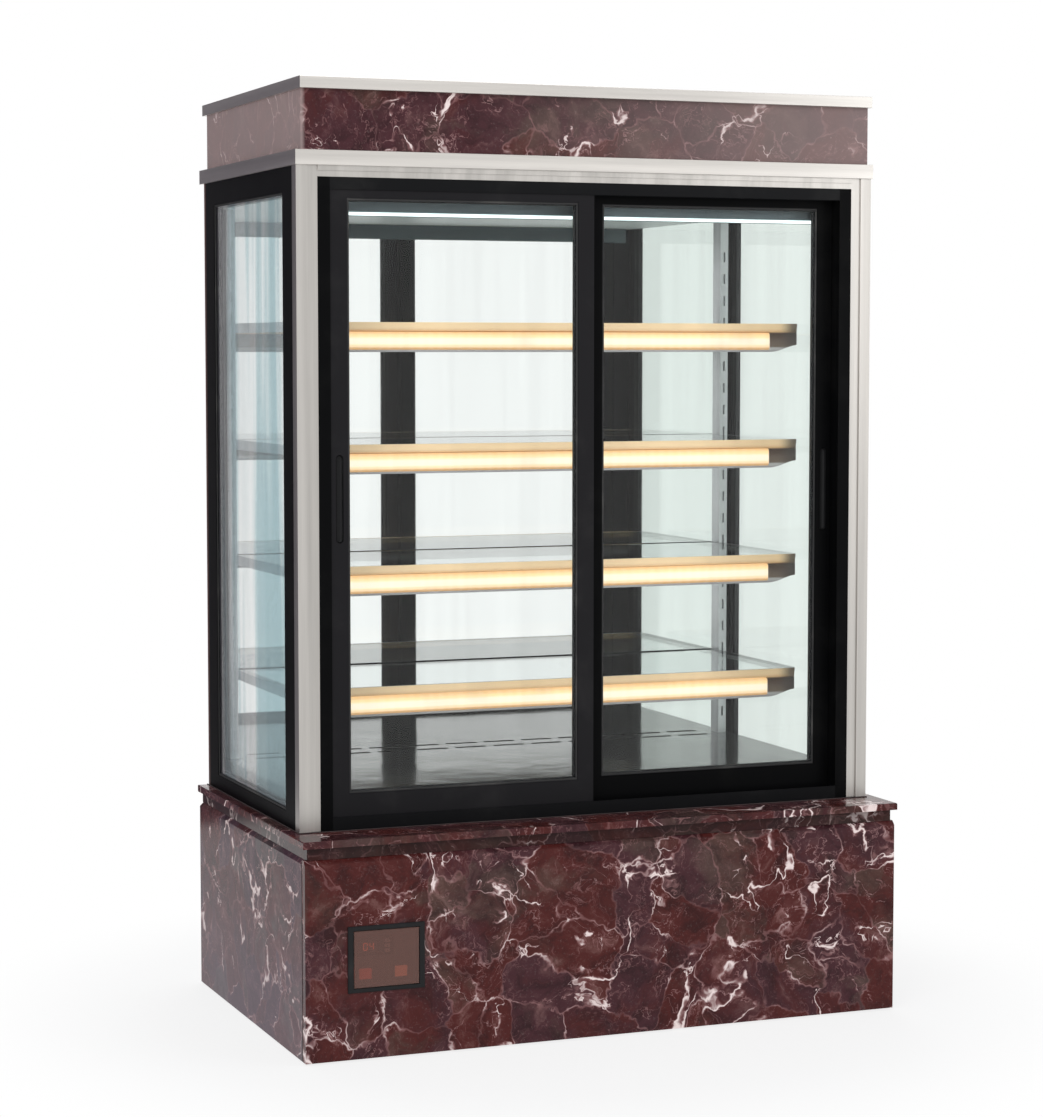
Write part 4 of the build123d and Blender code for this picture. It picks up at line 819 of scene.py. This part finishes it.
class CABINET_OT_stonework(Operator):
    """Sealant between the plinth's slabs and around the foot of the cabinet"""

    bl_idname = "cabinet.stonework"
    bl_label = "Stone joints"

    def execute(self, context):
        ledge_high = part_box("plinth_top")[1]
        panel_low, panel_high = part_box("plinth_front_panel")
        trim_low, trim_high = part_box("front_trim")
        bead = 2.2 * MM
        foot = 2.5 * MM
        top = ledge_high.z + 1.8 * MM
        front = trim_low.y - foot

        def joints(made):
            for side in (-1, 1):
                x = side * (panel_high.x + 0.2 * MM)
                add_bar(made, (x - 0.6 * MM, panel_high.y - bead / 2, panel_low.z + 1 * MM),
                        (x + 0.6 * MM, panel_high.y + bead / 2, panel_high.z - 9 * MM), 0.4 * MM, 1)
            add_bar(made, (trim_low.x - 2 * MM, front, ledge_high.z), (trim_high.x + 2 * MM, trim_low.y, top),
                    0.8 * MM)
            for side in (-1, 1):
                x0, x1 = sorted((side * trim_high.x, side * (trim_high.x + foot)))
                add_bar(made, (x0, front, ledge_high.z), (x1, ledge_high.y, top), 0.8 * MM)

        add_piece("stone_sealant", joints, "silicone", "cabinet")
        return {"FINISHED"}


class CABINET_OT_lips(Operator):
    """Screws under both steel lips and on the upper one"""

    bl_idname = "cabinet.lips"
    bl_label = "Steel lips"

    def execute(self, context):
        radius = settings("cabinet_metal").screw_radius
        low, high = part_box("lower_lip")
        top_low, top_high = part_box("top_lip")
        flush = 0.1 * MM
        columns_below = (-0.45, -0.15, 0.15, 0.45)
        columns_on_top = (-0.5, -0.17, 0.17, 0.5)

        def screws(made):
            for x in columns_below:
                add_screw(made, (x, high.y - 12 * MM, low.z), (0, 0, -1), radius)
                add_screw(made, (x, top_high.y - 8 * MM, top_low.z), (0, 0, -1), radius)
            for x in columns_on_top:
                add_screw(made, (x, top_low.y + 26 * MM, top_high.z - flush), (0, 0, 1), radius * 0.7, flush)

        add_piece("lip_screws", screws, "zinc", "cabinet", True)
        return {"FINISHED"}


class CABINET_OT_glazing(Operator):
    """Rubber beads and metal spacers around the panes of the doors and the sides"""

    bl_idname = "cabinet.glazing"
    bl_label = "Glazing beads"

    def execute(self, context):
        bead = settings("cabinet_glass").bead
        frame_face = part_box("side_frames")[1].x
        frame_back = frame_face - 25 * MM
        recess, bead_back = 1.2 * MM, 3 * MM
        side_spacer, door_spacer_inset = (8.2 * MM, 16.8 * MM), 4.2 * MM
        door_bead = 2.2 * MM
        for side, tag in ((-1, "left"), (1, "right")):
            y, z = sight(f"side_glass_{tag}", 1, 12 * MM)

            def beads(made):
                for near, far in ((frame_face - bead_back, frame_face - recess),
                                  (frame_back + recess, frame_back + bead_back)):
                    add_rect_ring(made, y, z, "yz", bead, (side * near, side * far))

            def spacer(made):
                add_rect_ring(made, y, z, "yz", 7 * MM,
                              [side * (frame_face - depth) for depth in side_spacer])

            add_piece(f"side_beads_{tag}", beads, "rubber", "cabinet")
            add_piece(f"side_spacer_{tag}", spacer, "spacer", "cabinet")
        for tag in ("left", "right"):
            low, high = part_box(f"{tag}_door_glass")
            x, z = sight(f"{tag}_door_glass", 0, 10 * MM)

            def door_beads(made):
                for depth in ((low.y - door_bead, low.y), (high.y, high.y + door_bead)):
                    add_rect_ring(made, x, z, "xz", bead, depth)

            def door_spacer(made):
                add_rect_ring(made, x, z, "xz", 6 * MM,
                              (low.y + door_spacer_inset, high.y - door_spacer_inset))

            add_piece(f"{tag}_door_beads", door_beads, "rubber", f"{tag}_door")
            add_piece(f"{tag}_door_spacer", door_spacer, "spacer", f"{tag}_door")
        return {"FINISHED"}


class CABINET_OT_door_fittings(Operator):
    """Pull linings and corner screws of the sliding doors"""

    bl_idname = "cabinet.door_fittings"
    bl_label = "Door fittings"

    def execute(self, context):
        pull_level = 1.010
        pull_inset = 16 * MM
        half_height = 79 * MM
        radius = 6.4 * MM
        depth = 6.6 * MM
        floor_edge = 1.6 * MM
        for tag, side in (("left", -1), ("right", 1)):
            low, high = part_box(f"{tag}_door_frame")
            front = low.y
            edge_x = low.x if side < 0 else high.x
            x = edge_x - side * pull_inset

            def lining(made):
                steps = 14
                loops = []
                for inset, y in ((0.0, front - 0.2 * MM), (0.0, front + depth - floor_edge),
                                 (floor_edge, front + depth), (radius - 0.2 * MM, front + depth)):
                    loop = []
                    for end in (1, -1):
                        for step in range(steps + 1):
                            angle = math.pi * step / steps + (0 if end > 0 else math.pi)
                            loop.append(made.verts.new((
                                x + (radius - inset) * math.cos(angle), y,
                                pull_level + end * (half_height - radius)
                                + (radius - inset) * math.sin(angle))))
                    loops.append(loop)
                join_rows(made, loops)
                made.faces.new(loops[-1])

            def screws(made):
                for z in (low.z + 24 * MM, high.z - 24 * MM):
                    for y in (front + 7 * MM, front + 15 * MM):
                        add_screw(made, (edge_x, y, z), (side, 0, 0), 2.6 * MM, 0.5 * MM)

            add_piece(f"{tag}_pull_lining", lining, "black plastic", f"{tag}_door", True)
            add_piece(f"{tag}_door_screws", screws, "zinc", f"{tag}_door", True)
        return {"FINISHED"}


class CABINET_OT_controls(Operator):
    """Display window, digits, key marks and panel screws behind the smoked cover"""

    bl_idname = "cabinet.controls"
    bl_label = "Controls"

    def execute(self, context):
        low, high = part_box("temperature_controller")
        middle_z = (low.z + high.z) / 2
        display_x = (low.x + high.x) / 2 - 10 * MM
        recess = low.y + 0.8 * MM

        def window(made):
            half_x, half_z = 19.8 * MM, 9.8 * MM
            add_bar(made, (display_x - half_x, recess - 0.3 * MM, middle_z - half_z),
                    (display_x + half_x, recess, middle_z + half_z), 0.1 * MM, 1)

        def digits(made):
            strokes = {"a": (0, 2), "b": (1, 1), "c": (1, -1), "d": (0, -2), "e": (-1, -1), "f": (-1, 1),
                       "g": (0, 0)}
            reach, rise = 3.5 * MM, 3.2 * MM
            half_thick = 0.65 * MM
            for middle, lit in ((-6 * MM, "abcdef"), (6 * MM, "bcfg")):
                for across, up in (strokes[key] for key in lit):
                    x = display_x + middle + across * reach
                    z = middle_z + up * rise
                    half_x, half_z = (half_thick, 2.5 * MM) if across else (2.6 * MM, half_thick)
                    add_bar(made, (x - half_x, recess - 0.55 * MM, z - half_z),
                            (x + half_x, recess - 0.32 * MM, z + half_z), 0.08 * MM, 1)

        add_piece("display_window", window, "display", "cabinet")
        add_piece("display_digits", digits, "digits", "cabinet")
        for name, body, point in (("key_down", "down_key", 1.5 * math.pi), ("key_up", "up_key", math.pi / 2),
                                  ("key_set", "set_key", None)):
            key_low, key_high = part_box(name)
            centre = (key_low + key_high) / 2
            print_height = 0.12 * MM

            def triangle(made):
                rings = []
                for y in (key_low.y - print_height, key_low.y + 0.05 * MM):
                    angles = [point + 2 * math.pi * step / 3 for step in range(3)]
                    rings.append([made.verts.new((
                        centre.x + 1.5 * MM * math.cos(angle), y, centre.z + 1.5 * MM * math.sin(angle)))
                        for angle in angles])
                made.faces.new(rings[0])
                made.faces.new(rings[1][::-1])
                join_rows(made, rings)

            def disc(made):
                add_turned(made, [(0.0, print_height), (1.0 * MM, print_height), (1.1 * MM, 0.0)],
                           (centre.x, key_low.y, centre.z), (0, -1, 0), 16)

            add_piece(f"{name}_mark", triangle if point else disc, "black plastic", body)
        panel_low, panel_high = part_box("control_panel")

        def panel_screws(made):
            for x in (panel_low.x + 26 * MM, panel_high.x - 26 * MM):
                add_screw(made, (x, panel_low.y + 3.0 * MM, middle_z + 24 * MM), (0, -1, 0), 2.4 * MM)

        add_piece("panel_screws", panel_screws, "zinc", "cabinet", True)
        return {"FINISHED"}


class CABINET_OT_back_fittings(Operator):
    """Louvre hoods and the screws of the panels and the inlet at the back"""

    bl_idname = "cabinet.back_fittings"
    bl_label = "Back fittings"

    def execute(self, context):
        radius = settings("cabinet_metal").screw_radius
        low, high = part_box("plinth_rear_panel")
        wall_low, wall_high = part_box("rear_wall")
        inlet_low, inlet_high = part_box("power_inlet")
        columns = (-0.400, -0.220, 0.060, 0.240)
        panel_screws, wall_screws, wall_levels = (-0.30, 0.0, 0.30), (-0.28, 0.0, 0.28), (0.8, 1.2)
        rows, pitch, lowest = 9, 26 * MM, 70 * MM
        half_length, height, bulge = 71 * MM, 8 * MM, 6 * MM

        def hoods(made):
            steps = 8
            for x, row in ((x, row) for x in columns for row in range(rows)):
                foot = lowest + row * pitch - height / 2
                arcs = []
                for along in (part / 12 for part in range(13)):
                    swell = math.sin(math.pi * along) ** 0.35 if 0 < along < 1 else 0.0
                    arcs.append([made.verts.new((
                        x - half_length + 2 * half_length * along,
                        high.y - bulge * swell * math.sin(math.pi / 2 * step / steps),
                        foot + height * math.cos(math.pi / 2 * step / steps)))
                        for step in range(steps + 1)])
                join_rows(made, arcs, closed=False)
            bmesh.ops.solidify(made, geom=list(made.faces), thickness=0.8 * MM)

        def screws(made):
            for x in (low.x + 16 * MM, *panel_screws, high.x - 16 * MM):
                for z in (low.z + 14 * MM, high.z - 14 * MM):
                    add_screw(made, (x, high.y, z), (0, 1, 0), radius)
            for x in (wall_low.x + 20 * MM, *wall_screws, wall_high.x - 20 * MM):
                for z in (wall_low.z + 30 * MM, *wall_levels, wall_high.z - 30 * MM):
                    add_screw(made, (x, wall_high.y, z), (0, 1, 0), radius)
            for x in (inlet_low.x + 5 * MM, inlet_high.x - 5 * MM):
                add_screw(made, (x, inlet_high.y, (inlet_low.z + inlet_high.z) / 2), (0, 1, 0), 2.4 * MM)

        add_piece("louvre_hoods", hoods, "galvanised", "cabinet", True)
        add_piece("back_screws", screws, "zinc", "cabinet", True)
        return {"FINISHED"}


class CABINET_OT_shelf_fittings(Operator):
    """Wire channels under both ends of the glass shelves"""

    bl_idname = "cabinet.shelf_fittings"
    bl_label = "Shelf fittings"

    def execute(self, context):
        half_width, side_inset = 4 * MM, 5 * MM
        front_inset, back_inset = 14 * MM, 2 * MM
        foot_drop, top_drop = 10 * MM, 3.2 * MM
        for number in range(1, 5):
            low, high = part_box(f"glass_shelf_{number}")

            def channels(made):
                for side in (-1, 1):
                    x = side * (high.x - side_inset)
                    add_bar(made, (x - half_width, low.y + front_inset, low.z - foot_drop),
                            (x + half_width, high.y - back_inset, low.z - top_drop), 1.2 * MM)

            add_piece(f"shelf_wire_channel_{number}", channels, "white plastic", "cabinet")
        return {"FINISHED"}


class CABINET_OT_ceiling_lamp(Operator):
    """Lamp behind the doors' head: a steel-grey housing with a lit opal strip along its lower edge"""

    bl_idname = "cabinet.ceiling_lamp"
    bl_label = "Ceiling lamp"

    def execute(self, context):
        low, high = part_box("ceiling_lamp")
        strip = 5 * MM
        drop = 7 * MM
        cap = 4 * MM

        def housing(made):
            add_bar(made, (low.x, low.y + 2 * MM, low.z + strip - drop), high, 3 * MM, 3)
            add_bar(made, (low.x, high.y - cap, low.z - drop - 1 * MM), high, 1 * MM)
            for x in (low.x + cap, high.x - cap):
                add_bar(made, (x - cap, low.y, low.z), (x + cap, high.y, high.z), 1.5 * MM)

        def diffuser(made):
            add_bar(made, (low.x + 2 * cap, low.y, low.z - drop),
                    (high.x - 2 * cap, high.y - cap, low.z - drop + strip), 2.2 * MM, 3)

        body = add_piece("ceiling_lamp_housing", housing, "lamp grey", "cabinet")
        lit = add_piece("ceiling_lamp_strip", diffuser, "cool", "cabinet")
        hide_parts("ceiling_lamp")
        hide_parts("ceiling_lamp")
        return {"FINISHED"}


class CABINET_OT_cooling_details(Operator):
    """Seam and foot bolts of the compressor"""

    bl_idname = "cabinet.cooling_details"
    bl_label = "Cooling details"

    def execute(self, context):
        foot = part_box("compressor")[0].z
        x, y = 40 * MM, 180 * MM
        radius = 78 * MM
        bolt_reach = 81 * MM
        seam_rise, bolt_rise = 118 * MM, 15 * MM

        def seam(made):
            profile = [(radius + 0.2 * MM, -4 * MM), (radius + 2.6 * MM, -3 * MM), (radius + 3.2 * MM, 0.0),
                       (radius + 2.6 * MM, 3 * MM), (radius + 0.2 * MM, 4 * MM)]
            add_turned(made, profile, (x, y, foot + seam_rise), (0, 0, 1), 64)

        def bolts(made):
            profile = [(0.0, 7 * MM), (4.6 * MM, 7 * MM), (5.2 * MM, 6 * MM), (5.2 * MM, 0.0)]
            for dx in (-bolt_reach, bolt_reach):
                for dy in (-bolt_reach, bolt_reach):
                    add_turned(made, profile, (x + dx, y + dy, foot + bolt_rise), (0, 0, 1), 6)

        add_piece("compressor_seam", seam, "enamel", "cabinet", True)
        add_piece("compressor_bolts", bolts, "zinc", "cabinet")
        return {"FINISHED"}


class CABINET_OT_stage(Operator):
    """Camera, soft lamps, pale floor and white surround"""

    bl_idname = "cabinet.stage"
    bl_label = "Studio"

    def execute(self, context):
        stage = settings("cabinet_stage")
        scene = context.scene
        camera = link_new("Photo Camera", bpy.data.cameras.new("Photo Camera"))
        camera.location = stage.camera_place
        camera.rotation_euler = (math.pi / 2 - stage.camera_pitch, 0.0, -stage.camera_yaw)
        camera.data.sensor_width = 36.0
        camera.data.lens = stage.lens
        camera.data.clip_end = 100.0
        scene.camera = camera
        self.add_floor()
        self.add_flag()
        self.light_world(scene)
        for name, place, aim, size, power in (
                ("Key Lamp", (-3.2, -3.6, 3.4), (0.0, 0.0, 0.9), 2.4, 95.0),
                ("Fill Lamp", (3.6, -3.2, 2.2), (0.0, 0.0, 0.9), 2.6, 45.0),
                ("Top Lamp", (0.0, 0.6, 4.2), (0.0, 0.0, 1.0), 2.6, 45.0),
                ("Back Lamp", (1.5, 4.0, 2.6), (0.0, 0.0, 1.0), 2.4, 40.0)):
            data = bpy.data.lights.new(name, "AREA")
            data.shape = "SQUARE"
            data.size = size
            data.energy = power
            lamp = link_new(name, data)
            lamp.location = place
            lamp.visible_camera = False
            lamp.visible_transmission = False
            lamp.rotation_euler = (Vector(aim) - Vector(place)).to_track_quat("-Z", "Y").to_euler()
        scene.view_settings.view_transform = "Standard"
        return {"FINISHED"}

    def light_world(self, scene):
        """Soft light on the object; white where the camera, glass and reflections look past it."""
        world = bpy.data.worlds.new("Studio World")
        scene.world = world
        world.use_nodes = True
        tree = world.node_tree
        soft = set_up(tree, tree.nodes["Background"], Color=(0.93, 0.965, 1.0), Strength=0.50)
        white = add_node(tree, "Background", Color=(1.0, 1.0, 1.0), Strength=1.0)
        path = add_node(tree, "LightPath")
        seen = math_node(tree, "MAXIMUM", path.outputs["Is Camera Ray"], path.outputs["Is Transmission Ray"])
        seen = math_node(tree, "MAXIMUM", seen, path.outputs["Is Glossy Ray"])
        mixed = mix_shaders(tree, seen, soft.outputs[0], white.outputs[0])
        tree.links.new(mixed, tree.nodes["World Output"].inputs["Surface"])

    def add_flag(self):
        """A dark card that only reflections see, so that the left faces keep their depth."""
        near, far, top, foot, depth = -0.66, -2.6, 2.3, 0.20, 1.05

        def card(made):
            corners = ((near, foot), (far, foot), (far, top), (near, top))
            made.faces.new([made.verts.new((x, depth, z)) for x, z in corners])

        mesh = mesh_from(card, "studio_flag")
        flag = link_new("studio_flag", mesh)
        material, tree, shader = plain_material("Studio Flag")
        set_up(tree, shader, Base_Color=(0.10, 0.085, 0.11), Roughness=0.9)
        mesh.materials.append(material)
        for ray in ("camera", "diffuse", "transmission", "volume_scatter", "shadow"):
            setattr(flag, f"visible_{ray}", False)

    def add_floor(self):
        """A pale floor that shows the object's shadow, is white far from it, and is clear from below."""
        mesh = mesh_from(
            lambda made: bmesh.ops.create_grid(made, x_segments=1, y_segments=1, size=14.0), "studio_floor")
        floor = link_new("studio_floor", mesh)
        floor.location = (0.0, 0.0, -0.5 * MM)
        material, tree, shader = plain_material("Studio Floor")
        set_up(tree, shader, Base_Color=(0.82, 0.82, 0.82), Roughness=0.9)
        white = add_node(tree, "Emission", Strength=1.0)
        geometry = add_node(tree, "NewGeometry")
        away = operate(tree, "VectorMath", "LENGTH", geometry.outputs["Position"]).outputs["Value"]
        pale = band(tree, away, 0.70, 1.20, 0.80, 1.0)
        above = mix_shaders(tree, pale, shader.outputs[0], white.outputs[0])
        clear = add_node(tree, "BsdfTransparent")
        mixed = mix_shaders(tree, geometry.outputs["Backfacing"], above, clear.outputs[0])
        tree.links.new(mixed, tree.nodes["Material Output"].inputs["Surface"])
        mesh.materials.append(material)


STEPS = (
    CABINET_OT_finishes,
    CABINET_OT_stonework,
    CABINET_OT_lips,
    CABINET_OT_glazing,
    CABINET_OT_door_fittings,
    CABINET_OT_controls,
    CABINET_OT_back_fittings,
    CABINET_OT_shelf_fittings,
    CABINET_OT_ceiling_lamp,
    CABINET_OT_cooling_details,
    CABINET_OT_stage,
)


class CABINET_PT_panel(Panel):
    """Lists the cabinet's settings and the steps that build it"""

    bl_idname = "CABINET_PT_panel"
    bl_label = "Display Cabinet"
    bl_space_type = "VIEW_3D"
    bl_region_type = "UI"
    bl_category = "Display Cabinet"

    def draw(self, context):
        for name, kind in SETTINGS.items():
            box = self.layout.box()
            box.label(text=kind.__doc__)
            for prop in kind.__annotations__:
                box.prop(getattr(context.scene, name), prop)
        for step in STEPS:
            self.layout.operator(step.bl_idname)


def register():
    for kind in (*SETTINGS.values(), *STEPS, CABINET_PT_panel):
        bpy.utils.register_class(kind)
    for name, kind in SETTINGS.items():
        setattr(bpy.types.Scene, name, PointerProperty(type=kind))


def unregister():
    for name in SETTINGS:
        delattr(bpy.types.Scene, name)
    for kind in reversed((*SETTINGS.values(), *STEPS, CABINET_PT_panel)):
        bpy.utils.unregister_class(kind)


def main():
    register()
    for step in STEPS:
        group_name, operator = step.bl_idname.split(".")
        getattr(getattr(bpy.ops, group_name), operator)()


if __name__ == "__main__":
    main()
